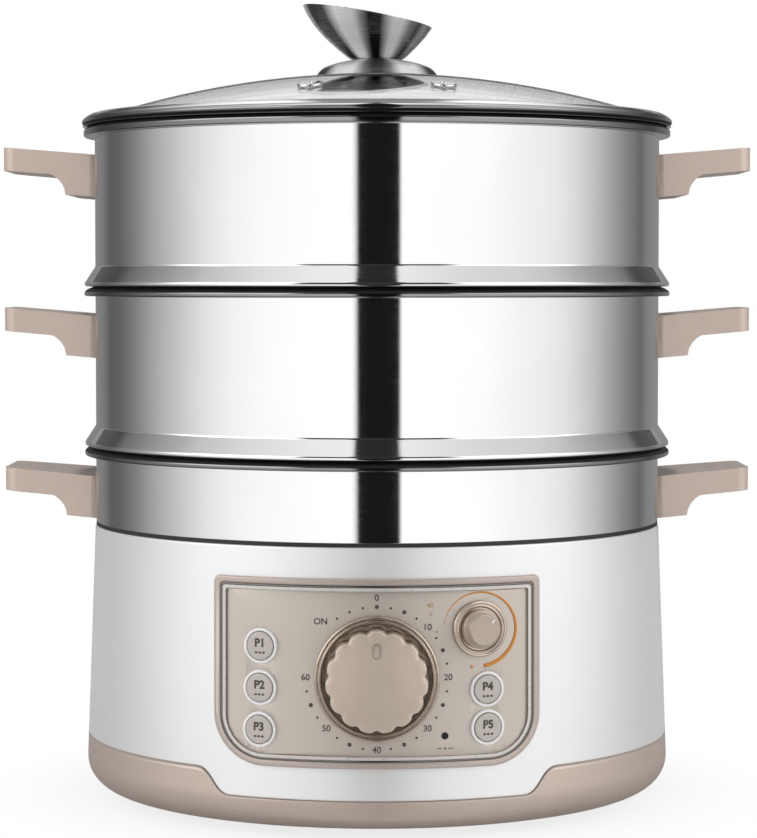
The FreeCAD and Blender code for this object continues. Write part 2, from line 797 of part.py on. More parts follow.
def bottom_cover():
    """Stepped bottom disc, its flange on the skirt's floor, with cooling slots in a ring."""
    z = skirt_z
    cover = spun((0, z), (cover_r(), z), (cover_r(), z + SHELL_T), (cover_r() + COVER_FLANGE, z + SHELL_T),
                 (cover_r() + COVER_FLANGE, z + SHELL_T + COVER_T), (0, z + SHELL_T + COVER_T))
    cut = [disc(FOOT_PEG_R + WALL_SEAT, z, z + FOOT_PEG_H + FIT, x, y) for x, y in foot_places()]
    slot = Part.makeBox(SLOT_L, SLOT_W, 4 * COVER_T + SHELL_T, Vector(SLOT_AT, -SLOT_W / 2, z - COVER_T))
    for i in range(SLOTS):
        turned = slot.copy()
        turned.rotate(Vector(0, 0, 0), Vector(0, 0, 1), 360 / SLOTS * i)
        cut.append(turned)
    return cover.cut(Part.makeCompound(cut)).cut(cover_holes())


def feet():
    out = []
    for x, y in foot_places():
        foot = spun((0, 0), (FOOT_R - 1.5, 0), (FOOT_R, 1.5), (FOOT_R, FOOT_H), (FOOT_PEG_R, FOOT_H),
                    (FOOT_PEG_R, FOOT_H + FOOT_PEG_H), (0, FOOT_H + FOOT_PEG_H))
        foot.translate(Vector(x, y, 0))
        out.append(foot)
    return Part.makeCompound(out)


def pot_seal():
    return ring(housing_top_r - SHELL_T, WALL_R, housing_top_z, band_z)


# control panel


def panel_low_z():
    return split_z + PANEL_LOW


def control_holes(bare_gap):
    """Holes through the panel for shafts, button sleeves and the lamp."""
    reach = 4 * SHELL_T
    holes = []
    timer = Part.makeCylinder(BUSH_R + bare_gap, 2 * reach, Vector(0, 0, -reach))
    holes.append(facing(timer, 0, split_z + TIMER_UP, panel_r(TIMER_UP)))
    heat = Part.makeCylinder(HEAT_SHAFT_R + 1.5 + bare_gap, 2 * reach, Vector(0, 0, -reach))
    holes.append(facing(heat, HEAT_TURN, split_z + HEAT_UP, panel_r(HEAT_UP)))
    for turn, up in BUTTONS:
        sleeve = Part.makeCylinder(sleeve_r() + WALL_SEAT, 2 * reach, Vector(0, 0, -reach))
        holes.append(facing(sleeve, turn, split_z + up, panel_r(up)))
    lens = Part.makeCylinder(LENS_R + WALL_SEAT, 2 * reach, Vector(0, 0, -reach))
    holes.append(facing(lens, LAMP_TURN, split_z + LAMP_UP, panel_r(LAMP_UP)))
    return holes


def panel_r(up):
    """Radius of the panel's face at a height above the parting line."""
    return housing_r(split_z + up) + PANEL_RISE


def panel_back(up, at):
    """Place of the panel's back at one height, along the outward axis of a piece mounted at another."""
    return panel_r(at) - panel_r(up) - PANEL_RISE - SHELL_T


def post(radius, up, at, base):
    """Mounting post from a piece at one height to the panel's back at another."""
    return Part.makeCylinder(radius, panel_back(up, at) - FIT - base, Vector(0, at - up, base))


def sleeve_r():
    return BUTTON_R + FIT + SLEEVE_T


def panel_band(rise, inset, width):
    low = panel_low_z() - 2
    top = panel_low_z() + PANEL_H + 2
    shell = cone_shell(WALL_SEAT, rise, low, top)
    inner_low = max(PANEL_LOW_R - inset - width, 1.0)
    inner_top = max(PANEL_TOP_R - inset - width, 0.8)
    outer = panel_prism(inset, max(PANEL_LOW_R - inset, 1.0), max(PANEL_TOP_R - inset, 0.8))
    return shell.common(outer).cut(panel_prism(inset + width, inner_low, inner_top))


def panel_plate():
    """Control plate: thin border over the housing, thick part in the window, holes for the controls."""
    low = panel_low_z()
    top = low + PANEL_H
    inset = FRAME_W + TRIM_W + WALL_SEAT
    shell = cone_shell(WALL_SEAT, PANEL_RISE, low, top)
    plate = shell.common(panel_prism(inset, PANEL_LOW_R - inset, 1.0))
    core = cone_shell(-SHELL_T, PANEL_RISE, low, top)
    core = core.common(panel_prism(WINDOW_INSET + FIT, WINDOW_R - FIT, WINDOW_R - FIT))
    plate = plate.fuse(core).removeSplitter()
    for hole in control_holes(0):
        plate = plate.cut(hole)
    return plate


def front_cut(shape, gap):
    """Trim the back of a piece to the panel's curved face."""
    low, top = panel_low_z(), panel_low_z() + PANEL_H
    inside = spun((0, low - 5), (housing_r(low - 5) + PANEL_RISE + gap, low - 5),
                  (housing_r(top) + PANEL_RISE + gap, top), (0, top))
    return shape.cut(inside)


def timer_dial_ring():
    """Round dial bezel: a flat-faced ring that stands off the curved panel, with a bed under the knob."""
    face, r = DIAL_FACE, DIAL_R
    bed = DIAL_BED
    bezel = spun(
        (BUSH_R + WALL_SEAT, -r), (r, -r), (r, face - 1.0), (r - 1.2, face), (r - DIAL_WALL + 0.6, face),
        (r - DIAL_WALL, face - 0.6), (r - DIAL_WALL, bed), (BUSH_R + WALL_SEAT, bed),
    )
    return front_cut(facing(bezel, 0, split_z + TIMER_UP, panel_r(TIMER_UP)), 0.05)


def lobed_outline(r, lobes, depth, half_w, z):
    """Knob outline: round lobes with a shallow hollow between each two."""
    edges = []
    step = 2 * math.pi / lobes
    for i in range(lobes):
        notch = math.pi / 2 + step * (i + 0.5)
        low, high = notch - half_w, notch + half_w
        a = Vector(r * math.cos(low), r * math.sin(low), z)
        b = Vector(r * math.cos(high), r * math.sin(high), z)
        dip = Vector((r - depth) * math.cos(notch), (r - depth) * math.sin(notch), z)
        edges.append(Part.Arc(a, dip, b).toShape())
        crest = high + (step - 2 * half_w) / 2
        nxt = high + step - 2 * half_w
        c = Vector(r * math.cos(crest), r * math.sin(crest), z)
        d = Vector(r * math.cos(nxt), r * math.sin(nxt), z)
        edges.append(Part.Arc(b, c, d).toShape())
    return Part.Face(Part.Wire(edges))


def timer_knob():
    """Grip knob with lobed rim, sunk pointer mark and a blind bore for the shaft."""
    base = DIAL_BED + KNOB_LIFT
    height = KNOB_FRONT - base
    body = lobed_outline(KNOB_R, KNOB_LOBES, LOBE_DEPTH, math.radians(4.6), base)
    body = body.extrude(Vector(0, 0, height))
    crown = spun((0, base), (KNOB_R + 1, base), (KNOB_R + 1, KNOB_FRONT - KNOB_CHAMFER - 1),
                 (KNOB_R - KNOB_CHAMFER, KNOB_FRONT), (0, KNOB_FRONT))
    body = body.common(crown)
    slot = Part.makeBox(POINTER_W, POINTER_L, 2 * POINTER_T,
                        Vector(-POINTER_W / 2, POINTER_AT - POINTER_L / 2, KNOB_FRONT - POINTER_T))
    bore = disc(SHAFT_R + 0.02, base - 1, base + SHAFT_GRIP)
    body = body.cut(slot).cut(bore)
    return facing(body, 0, split_z + TIMER_UP, panel_r(TIMER_UP))


def timer_shaft():
    base = DIAL_BED + KNOB_LIFT
    shaft = disc(SHAFT_R, timer_face() - SHAFT_IN + FIT, base + SHAFT_GRIP - FIT)
    return facing(shaft, 0, split_z + TIMER_UP, panel_r(TIMER_UP))


def timer_face():
    """Front of the timer's case along its own axis, from the panel's face."""
    return -(PANEL_RISE + SHELL_T + TIMER_BACK)


def timer_body():
    """Clockwork case with its bush through the panel and two mounting ears."""
    z = timer_face()
    case = Part.makeBox(TIMER_W, TIMER_W, TIMER_D, Vector(-TIMER_W / 2, -TIMER_W / 2, z - TIMER_D))
    case = case.makeChamfer(3, [e for e in case.Edges if abs(e.Vertexes[0].Z - e.Vertexes[1].Z) > 1])
    bush = disc(BUSH_R - WALL_SEAT, z, DIAL_BED - 0.5)
    body = case.fuse(bush)
    for side in (-1, 1):
        body = body.fuse(post(TIMER_POST_R, TIMER_UP, TIMER_UP + side * TIMER_POST_AT, z))
    body = body.cut(disc(SHAFT_R + SHAFT_FIT, z - SHAFT_IN, DIAL_BED + 1))
    return facing(body.removeSplitter(), 0, split_z + TIMER_UP, panel_r(TIMER_UP))


def heat_place(shape):
    return facing(shape, HEAT_TURN, split_z + HEAT_UP, panel_r(HEAT_UP))


def heat_knob_ring():
    """Raised bezel round the heat knob."""
    face, r, bed = HEAT_RING_FACE, HEAT_RING_R, HEAT_BED
    bore = HEAT_SHAFT_R + HEAT_BORE_PLAY
    bezel = spun((bore, -r), (r, -r), (r, face - 0.6), (r - 0.8, face),
                 (r - HEAT_RING_W + 0.4, face), (r - HEAT_RING_W, face - 0.6), (r - HEAT_RING_W, bed),
                 (bore, bed))
    return front_cut(heat_place(bezel), 0.05)


def heat_knob():
    """Small round knob with a flange and a sunk pointer line."""
    base = HEAT_BED + KNOB_LIFT
    knob = spun((0, base), (HEAT_FLANGE_R, base), (HEAT_FLANGE_R, base + HEAT_FLANGE_T - 1),
                (HEAT_FLANGE_R - 0.8, base + HEAT_FLANGE_T), (HEAT_KNOB_R, base + HEAT_FLANGE_T),
                (HEAT_KNOB_R, HEAT_FRONT - 0.8), (HEAT_KNOB_R - 0.8, HEAT_FRONT), (0, HEAT_FRONT))
    line = Part.makeBox(1.2, 5.0, 3, Vector(-0.6, HEAT_KNOB_R - 4.6, HEAT_FRONT - 0.5))
    line.rotate(Vector(0, 0, 0), Vector(0, 0, 1), -HEAT_MARK_TURN)
    return heat_place(knob.cut(line).cut(disc(HEAT_SHAFT_R + 0.02, base - 1, base + HEAT_GRIP)))


def heat_shaft():
    z = timer_face()
    return heat_place(disc(HEAT_SHAFT_R, z - HEAT_SHAFT_IN + FIT, HEAT_BED + KNOB_LIFT + HEAT_GRIP - FIT))


def heat_switch_body():
    """Rotary heat switch behind the panel."""
    z = timer_face()
    case = Part.makeBox(SWITCH_W, SWITCH_W, SWITCH_D, Vector(-SWITCH_W / 2, -SWITCH_W / 2, z - SWITCH_D))
    case = case.fuse(disc(HEAT_SHAFT_R + 1.4, z, -0.4)).cut(disc(HEAT_SHAFT_R + SHAFT_FIT, z - HEAT_SHAFT_IN, 1))
    for side in (-1, 1):
        case = case.fuse(post(POST_R, HEAT_UP, HEAT_UP + side * SWITCH_POST_AT, z))
    return heat_place(case.removeSplitter())


def button_rings():
    """White sleeves round the preset buttons."""
    out = []
    bore = BUTTON_R + FIT
    for turn, up in BUTTONS:
        sleeve = ring(bore, sleeve_r(), -SHELL_T, RING_RISE)
        flange = ring(sleeve_r() - SLEEVE_T / 2, RING_R, -RING_R, RING_RISE)
        place = (turn, split_z + up, panel_r(up))
        trimmed = front_cut(facing(flange, *place), WALL_SEAT / 2)
        out.append(facing(sleeve, *place).fuse(trimmed).removeSplitter())
    return Part.makeCompound(out)


def preset_button(turn, up):
    """Round push-button: crowned face, straight stem through its sleeve, flange behind the panel."""
    face = BUTTON_RISE
    stem, flange = BUTTON_R - STEM_IN, BUTTON_R + STOP_T
    body = spun((0, -STEM_BACK), (stem, -STEM_BACK), (stem, -STOP_BACK - STOP_T), (flange, -STOP_BACK - STOP_T),
                (flange, -STOP_BACK), (BUTTON_R, -STOP_BACK), (BUTTON_R, face - 0.4), (BUTTON_R - 0.6, face),
                (0, face))
    return facing(body, turn, split_z + up, panel_r(up))


def board_face():
    """Front of the button boards, behind the pressed buttons."""
    return -STEM_BACK - BUTTON_TRAVEL - KEY_GAP - KEY_H


def button_boards():
    """One narrow circuit board behind each column of buttons, with a key switch behind each button."""
    out = []
    for side in (-1, 1):
        column = [(t, u) for t, u in BUTTONS if math.copysign(1, t) == side]
        ups = [u for _, u in column]
        low, high = min(ups) - BOARD_OVER, max(ups) + BOARD_OVER
        turn = column[0][0]
        middle = (low + high) / 2
        board = Part.makeBox(BOARD_W, high - low, BOARD_T, Vector(-BOARD_W / 2, -(high - low) / 2, -BOARD_T))
        board.translate(Vector(0, 0, board_face()))
        for _, up in column:
            key = Part.makeBox(KEY_W, KEY_W, KEY_H, Vector(-KEY_W / 2, up - middle - KEY_W / 2, board_face()))
            board = board.fuse(key)
        for at in (low + POST_R, high - POST_R):
            board = board.fuse(post(POST_R, middle, at, board_face()))
        out.append(facing(board.removeSplitter(), turn, split_z + middle, panel_r(middle)))
    return Part.makeCompound(out)


def indicator_lens():
    lens = spun((0, -LENS_L), (LENS_R, -LENS_L), (LENS_R, 0.2), (LENS_R - 0.4, 0.5), (0, 0.5))
    return facing(lens, LAMP_TURN, split_z + LAMP_UP, panel_r(LAMP_UP))


def indicator_lamp():
    top = -max(LENS_L, PANEL_RISE + SHELL_T) - 0.2
    lamp = spun((0, top - LAMP_L), (LAMP_R, top - LAMP_L), (LAMP_R, top - 1), (LAMP_R - 1, top), (0, top))
    return facing(lamp, LAMP_TURN, split_z + LAMP_UP, panel_r(LAMP_UP))


# heater


def heating_plate():
    top = well_floor_z - SHEET
    return disc(HEATER_R, top - HEATER_T, top)


def heating_tube():
    """Sheathed element: an open ring of flattened tube under the plate, with two legs."""
    top = well_floor_z - SHEET - HEATER_T
    r, w, h = TUBE_RING_R, TUBE_W, TUBE_H
    section = ((r - w / 2, top), (r - w / 4, top - h), (r + w / 4, top - h), (r + w / 2, top))
    tube = spun(*section, angle=TUBE_ANGLE)
    tube.rotate(Vector(0, 0, 0), Vector(0, 0, 1), -90 + (360 - TUBE_ANGLE) / 2)
    for side in (-1, 1):
        a = math.radians(-90 + side * (360 - TUBE_ANGLE) / 2 + side * 2)
        leg = disc(w / 4, top - h - TUBE_LEG, top - h / 2, r * math.cos(a), r * math.sin(a))
        tube = tube.fuse(leg)
    return tube


def thermostat():
    """Disc thermostat under the middle of the heating plate."""
    top = well_floor_z - SHEET - HEATER_T
    cup = THERMO_R - THERMO_RIM
    return spun((0, top - THERMO_H), (cup, top - THERMO_H), (cup, top - THERMO_RIM), (THERMO_R, top - THERMO_RIM),
                (THERMO_R, top), (0, top))


def thermal_fuse():
    """Fuse clipped flat against the heating plate."""
    top = well_floor_z - SHEET - HEATER_T
    return Part.makeCylinder(FUSE_R, FUSE_L, Vector(FUSE_X, -FUSE_L / 2, top - FUSE_R), Vector(0, 1, 0))


# inlet


def inlet_block(grow=0.0):
    """Rounded block of the inlet's collar, from inside the housing to its outer face."""
    w, h = INLET_W + 2 * grow, INLET_H + 2 * grow
    depth = SOCKET_D + INLET_BACK
    block = Part.makeBox(w, depth, h, Vector(-w / 2, inlet_face - depth, split_z + INLET_UP - h / 2))
    corners = [e for e in block.Edges if abs(e.Vertexes[0].Y - e.Vertexes[1].Y) > 1]
    return block.makeFillet(INLET_CORNER, corners)


def inlet_housing():
    """Collar with a three-pin appliance inlet: deep socket with two cut corners."""
    block = inlet_block()
    z = split_z + INLET_UP
    w, h, c = SOCKET_W / 2, SOCKET_H / 2, SOCKET_CHAMFER
    points = [(-w, -h), (w, -h), (w, h - c), (w - c, h), (c - w, h), (-w, h - c)]
    loop = [Vector(x, inlet_face - SOCKET_D, z + up) for x, up in points]
    socket = Part.Face(Part.makePolygon(loop + [loop[0]])).extrude(Vector(0, SOCKET_D + 1, 0))
    block = block.cut(socket)
    for x, up in pin_places():
        block = block.cut(pin_bar(x, up, WALL_SEAT))
    return block


def pin_places():
    return ((-PIN_SPREAD / 2, -PIN_DROP / 2), (0, PIN_DROP / 2), (PIN_SPREAD / 2, -PIN_DROP / 2))


def pin_bar(x, up, grow):
    z = split_z + INLET_UP + up
    back = inlet_face - SOCKET_D - INLET_BACK
    w, h = PIN_W + 2 * grow, PIN_H + 2 * grow
    return Part.makeBox(w, INLET_BACK + PIN_L, h, Vector(x - w / 2, back, z - h / 2))


def inlet_pins():
    return Part.makeCompound([pin_bar(x, up, 0) for x, up in pin_places()])


def main():
    os.makedirs("parts", exist_ok=True)
    for name, seat in (("lower", pot_rim_z), ("upper", lower_rim_z)):
        top = seat + TIER_H
        save(name + "_tier_shell", drilled(tier_shell(seat), top))
        save(name + "_handle_left", handle(top, -1))
        save(name + "_handle_right", handle(top, 1))
        save(name + "_handle_screws", handle_screws(top))
        save(name + "_steam_plate", steam_plate(seat))
    save("water_pot", water_pot())
    save("pot_handle_left", handle(pot_rim_z, -1))
    save("pot_handle_right", handle(pot_rim_z, 1))
    save("pot_handle_screws", handle_screws(pot_rim_z))
    save("pot_seal", pot_seal())
    save("base_housing", base_housing())
    save("base_skirt", base_skirt())
    save("bottom_cover", bottom_cover())
    save("feet", feet())
    save("cover_screws", cover_screws())
    save("panel_frame", panel_band(FRAME_RISE, 0.0, FRAME_W))
    save("panel_trim", panel_band(TRIM_RISE, FRAME_W + WALL_SEAT, TRIM_W - WALL_SEAT))
    save("panel_plate", panel_plate())
    save("timer_dial_ring", timer_dial_ring())
    save("timer_knob", timer_knob())
    save("timer_shaft", timer_shaft())
    save("timer_body", timer_body())
    save("heat_knob_ring", heat_knob_ring())
    save("heat_knob", heat_knob())
    save("heat_shaft", heat_shaft())
    save("heat_switch_body", heat_switch_body())
    save("button_rings", button_rings())
    for number, (turn, up) in enumerate(BUTTONS, 1):
        save("preset_button_" + str(number), preset_button(turn, up))
    save("button_boards", button_boards())
    save("indicator_lens", indicator_lens())
    save("indicator_lamp", indicator_lamp())
    save("heating_plate", heating_plate())
    save("heating_tube", heating_tube())
    save("thermostat", thermostat())
    save("thermal_fuse", thermal_fuse())
    save("inlet_housing", inlet_housing())
    save("inlet_pins", inlet_pins())
    save("lid_glass", lid_glass())
    save("lid_rim", lid_rim())
    save("vent_grommets", vent_grommets())
    save("knob_skirt", knob_skirt())
    save("knob_bowl", knob_bowl())
    save("knob_core", knob_core())
    save("knob_washer", knob_washer())
    save("knob_screw", knob_screw())


main()
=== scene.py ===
import math

import bmesh
import bpy
from mathutils import Matrix, Vector


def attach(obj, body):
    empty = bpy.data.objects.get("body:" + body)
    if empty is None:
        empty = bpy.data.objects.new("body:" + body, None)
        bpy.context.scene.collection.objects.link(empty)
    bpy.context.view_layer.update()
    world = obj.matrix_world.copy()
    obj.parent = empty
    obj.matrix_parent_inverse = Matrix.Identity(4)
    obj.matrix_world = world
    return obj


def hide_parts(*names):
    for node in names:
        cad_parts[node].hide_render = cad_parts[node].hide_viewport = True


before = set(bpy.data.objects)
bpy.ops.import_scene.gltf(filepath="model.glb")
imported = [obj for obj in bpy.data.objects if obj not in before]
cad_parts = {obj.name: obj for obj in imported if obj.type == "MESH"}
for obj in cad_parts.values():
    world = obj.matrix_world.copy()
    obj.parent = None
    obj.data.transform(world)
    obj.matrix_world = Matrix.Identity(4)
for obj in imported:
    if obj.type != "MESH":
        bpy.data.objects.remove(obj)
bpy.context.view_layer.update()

# Sizes are in millimetres, and a new piece is scaled to metres when it is made an object.
# The camera, the lights, the floor and the depth of a bump are in metres.
view = {"side": 0.00075, "distance": 1.4, "height": 0.2546, "tilt": 2.84, "lens": 120.2}
stack = {"potRim": 173.0, "lowerRim": 251.4, "upperRim": 329.8, "band": 135.6, "wall": 140.0, "inside": 139.2,
         "rimOut": 5.5, "rimHeight": 4.6, "seam": 2.5, "upperSeam": 1.7, "sheet": 0.8}
body = {"split": 31.0, "top": 133.9, "topRadius": 140.4, "lowRadius": 144.3}
seatGap = 0.1  # keeps a piece off the one it sits on
standUp = Matrix.Rotation(math.radians(90), 4, "X")


# helpers for shapes

def housingRadius(z):
    share = (z - body["split"]) / (body["top"] - body["split"])
    return body["lowRadius"] + (body["topRadius"] - body["lowRadius"]) * share


def newVerts(made, key="geom"):
    return [v for v in made[key] if isinstance(v, bmesh.types.BMVert)]


def roundOff(bm, geom, width, steps, affect="VERTICES", clamp=False):
    bmesh.ops.bevel(bm, geom=geom, offset=width, offset_type="OFFSET", segments=steps, profile=0.5,
                    affect=affect, material=-1, clamp_overlap=clamp)


def sharpEdges(bm, degrees, isWanted):
    return [e for e in bm.edges if len(e.link_faces) == 2 and e.calc_face_angle(0) > math.radians(degrees)
            and all(isWanted(v.co) for v in e.verts)]


def faceOutwards(bm):
    bmesh.ops.recalc_face_normals(bm, faces=bm.faces[:])
    return bm


def sliceAt(bm, place, normal, clearOuter=False):
    bmesh.ops.bisect_plane(bm, geom=bm.verts[:] + bm.edges[:] + bm.faces[:], plane_co=place, plane_no=normal,
                           clear_outer=clearOuter)


def thicken(bm, offset):
    # a flat shape gets a second side, moved by the offset
    made = bmesh.ops.extrude_face_region(bm, geom=bm.faces[:])
    bmesh.ops.translate(bm, vec=offset, verts=newVerts(made))


def setRadius(v, radius, z):
    # move a point towards or away from the axis
    flat = math.hypot(v.co.x, v.co.y)
    v.co = (v.co.x * radius / flat, v.co.y * radius / flat, z)


def spinAround(bm, steps=256):
    bmesh.ops.spin(bm, geom=bm.verts[:] + bm.edges[:], cent=(0, 0, 0), axis=(0, 0, 1), dvec=(0, 0, 0),
                   angle=2 * math.pi, steps=steps, use_merge=True)
    bmesh.ops.remove_doubles(bm, verts=bm.verts[:], dist=1e-4)
    return faceOutwards(bm)


def spunSection(corners, steps=256, closed=True):
    # corners are (radius, height) or (radius, height, rounding), in order round the section
    bm = bmesh.new()
    verts = [bm.verts.new((corner[0], 0, corner[1])) for corner in corners]
    pairs = list(zip(verts, verts[1:] + verts[:1]))
    for a, b in pairs if closed else pairs[:-1]:
        bm.edges.new((a, b))
    for vert, corner in zip(verts, corners):
        if len(corner) > 2:
            roundOff(bm, [vert], corner[2], 5)
    return spinAround(bm, steps)


def joinMeshes(meshes):
    whole = bmesh.new()
    for bm in meshes:
        passing = bpy.data.meshes.new("passing")
        bm.to_mesh(passing)
        bm.free()
        whole.from_mesh(passing)
        bpy.data.meshes.remove(passing)
    return whole


def shadeZone(piece, finish, low, high, innerRadius):
    # painted shade: a rolled rim or the seam under it gets a darker finish that stands in for shade
    piece.data.materials.append(finishes[finish])
    for face in piece.data.polygons:
        place = face.center * 1000
        if low < place.z < high and place.xy.length > innerRadius:
            face.material_index = len(piece.data.materials) - 1


def addPiece(name, bm, rider, finish, slotName=None, nodes=()):
    bm.transform(Matrix.Scale(0.001, 4))
    mesh = bpy.data.meshes.new(name)
    bm.to_mesh(mesh)
    bm.free()
    mesh.shade_smooth()
    mesh.materials.append(finishes[finish])
    piece = bpy.data.objects.new(name, mesh)
    bpy.context.collection.objects.link(piece)
    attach(piece, rider)
    if nodes:
        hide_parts(*nodes)
    if slotName:  # only the printed marks have none, and they stay flat
        piece.modifiers.new("evenShading", "WEIGHTED_NORMAL").keep_sharp = True
    return piece


# finishes

def setInputs(tree, node, inputs):
    # an input gets a value, or is linked to an output
    for name, value in inputs.items():
        if isinstance(value, bpy.types.NodeSocket):
            tree.links.new(value, node.inputs[name])
        else:
            node.inputs[name].default_value = value


def addNode(tree, kind, inputs={}, **settings):
    node = tree.nodes.new("ShaderNode" + kind)
    for setting, value in settings.items():
        setattr(node, setting, value)
    setInputs(tree, node, inputs)
    return node


def newMaterial(name):
    material = bpy.data.materials.new(name)
    material.use_nodes = True
    return material, material.node_tree, material.node_tree.nodes["Principled BSDF"]


def patternNoise(tree, stretch, scale, detail=4.0):
    place = addNode(tree, "TexCoord")
    mapping = addNode(tree, "Mapping", {"Vector": place.outputs["Object"], "Scale": (1, 1, stretch)})
    noise = {"Vector": mapping.outputs["Vector"], "Scale": scale, "Detail": detail}
    return addNode(tree, "TexNoise", noise).outputs["Fac"]


def spreadOver(tree, source, low, high):
    spread = {"Value": source, "To Min": low, "To Max": high, "From Min": 0.3, "From Max": 0.7}
    return addNode(tree, "MapRange", spread).outputs["Result"]


def bumpFrom(tree, source, strength, distance):
    return addNode(tree, "Bump", {"Height": source, "Strength": strength, "Distance": distance}).outputs["Normal"]


def toneRamp(tree, source, stops):
    # stops are (position, tone), and a tone is a grey or a colour
    ramp = addNode(tree, "ValToRGB", {"Fac": source})
    elements = ramp.color_ramp.elements
    elements.remove(elements[-1])
    elements[0].position = stops[0][0]
    for index, (position, tone) in enumerate(stops):
        stop = elements.new(position) if index else elements[0]
        stop.color = (*tone, 1) if isinstance(tone, tuple) else (tone, tone, tone, 1)
    return ramp.outputs["Color"]


def grainedFinish(name, dark, light, rough, metallic, grain, bump, depth, stretch=1):
    material, tree, shader = newMaterial(name)
    broad = patternNoise(tree, 1, 18, 3)
    fine = patternNoise(tree, stretch, grain)
    setInputs(tree, shader, {
        "Base Color": toneRamp(tree, broad, ((0.3, dark), (0.7, light))),
        "Roughness": spreadOver(tree, fine, *rough), "Metallic": metallic, "Coat Roughness": 0.1,
        "Normal": bumpFrom(tree, fine, bump, depth)})
    return material


def glassFinish():
    material, tree, shader = newMaterial("clearGlass")
    fine = patternNoise(tree, 1, 35, 2)
    setInputs(tree, shader, {
        "Base Color": (0.86, 0.875, 0.87, 1), "Transmission Weight": 1.0, "IOR": 1.47,
        "Roughness": spreadOver(tree, fine, 0.0, 0.012), "Normal": bumpFrom(tree, fine, 0.01, 0.0002)})
    return material


def paintedReflectionSteel(name, paintedStreaks, coat):
    # painted reflections: steel whose colour is lighter and darker round its axis, in bands that stand in for
    # reflected light and shade; each band is (degrees from the front, tone)
    material, tree, shader = newMaterial(name)
    split = addNode(tree, "SeparateXYZ", {"Vector": addNode(tree, "TexCoord").outputs["Object"]})
    back = addNode(tree, "Math", {0: split.outputs["Y"], 1: -1}, operation="MULTIPLY")
    around = addNode(tree, "Math", {0: split.outputs["X"], 1: back.outputs["Value"]}, operation="ARCTAN2")
    share = addNode(tree, "MapRange", {"Value": around.outputs["Value"], "From Min": -math.pi,
                                       "From Max": math.pi})
    fine = patternNoise(tree, 40, 60)
    setInputs(tree, shader, {
        "Base Color": toneRamp(tree, share.outputs["Result"],
                               [((turn + 180) / 360, tone) for turn, tone in paintedStreaks]),
        "Roughness": spreadOver(tree, fine, 0.22, 0.3), "Normal": bumpFrom(tree, fine, 0.02, 0.00005),
        "Metallic": 0.02, "Coat Weight": coat, "Coat Roughness": 0.08})
    return material


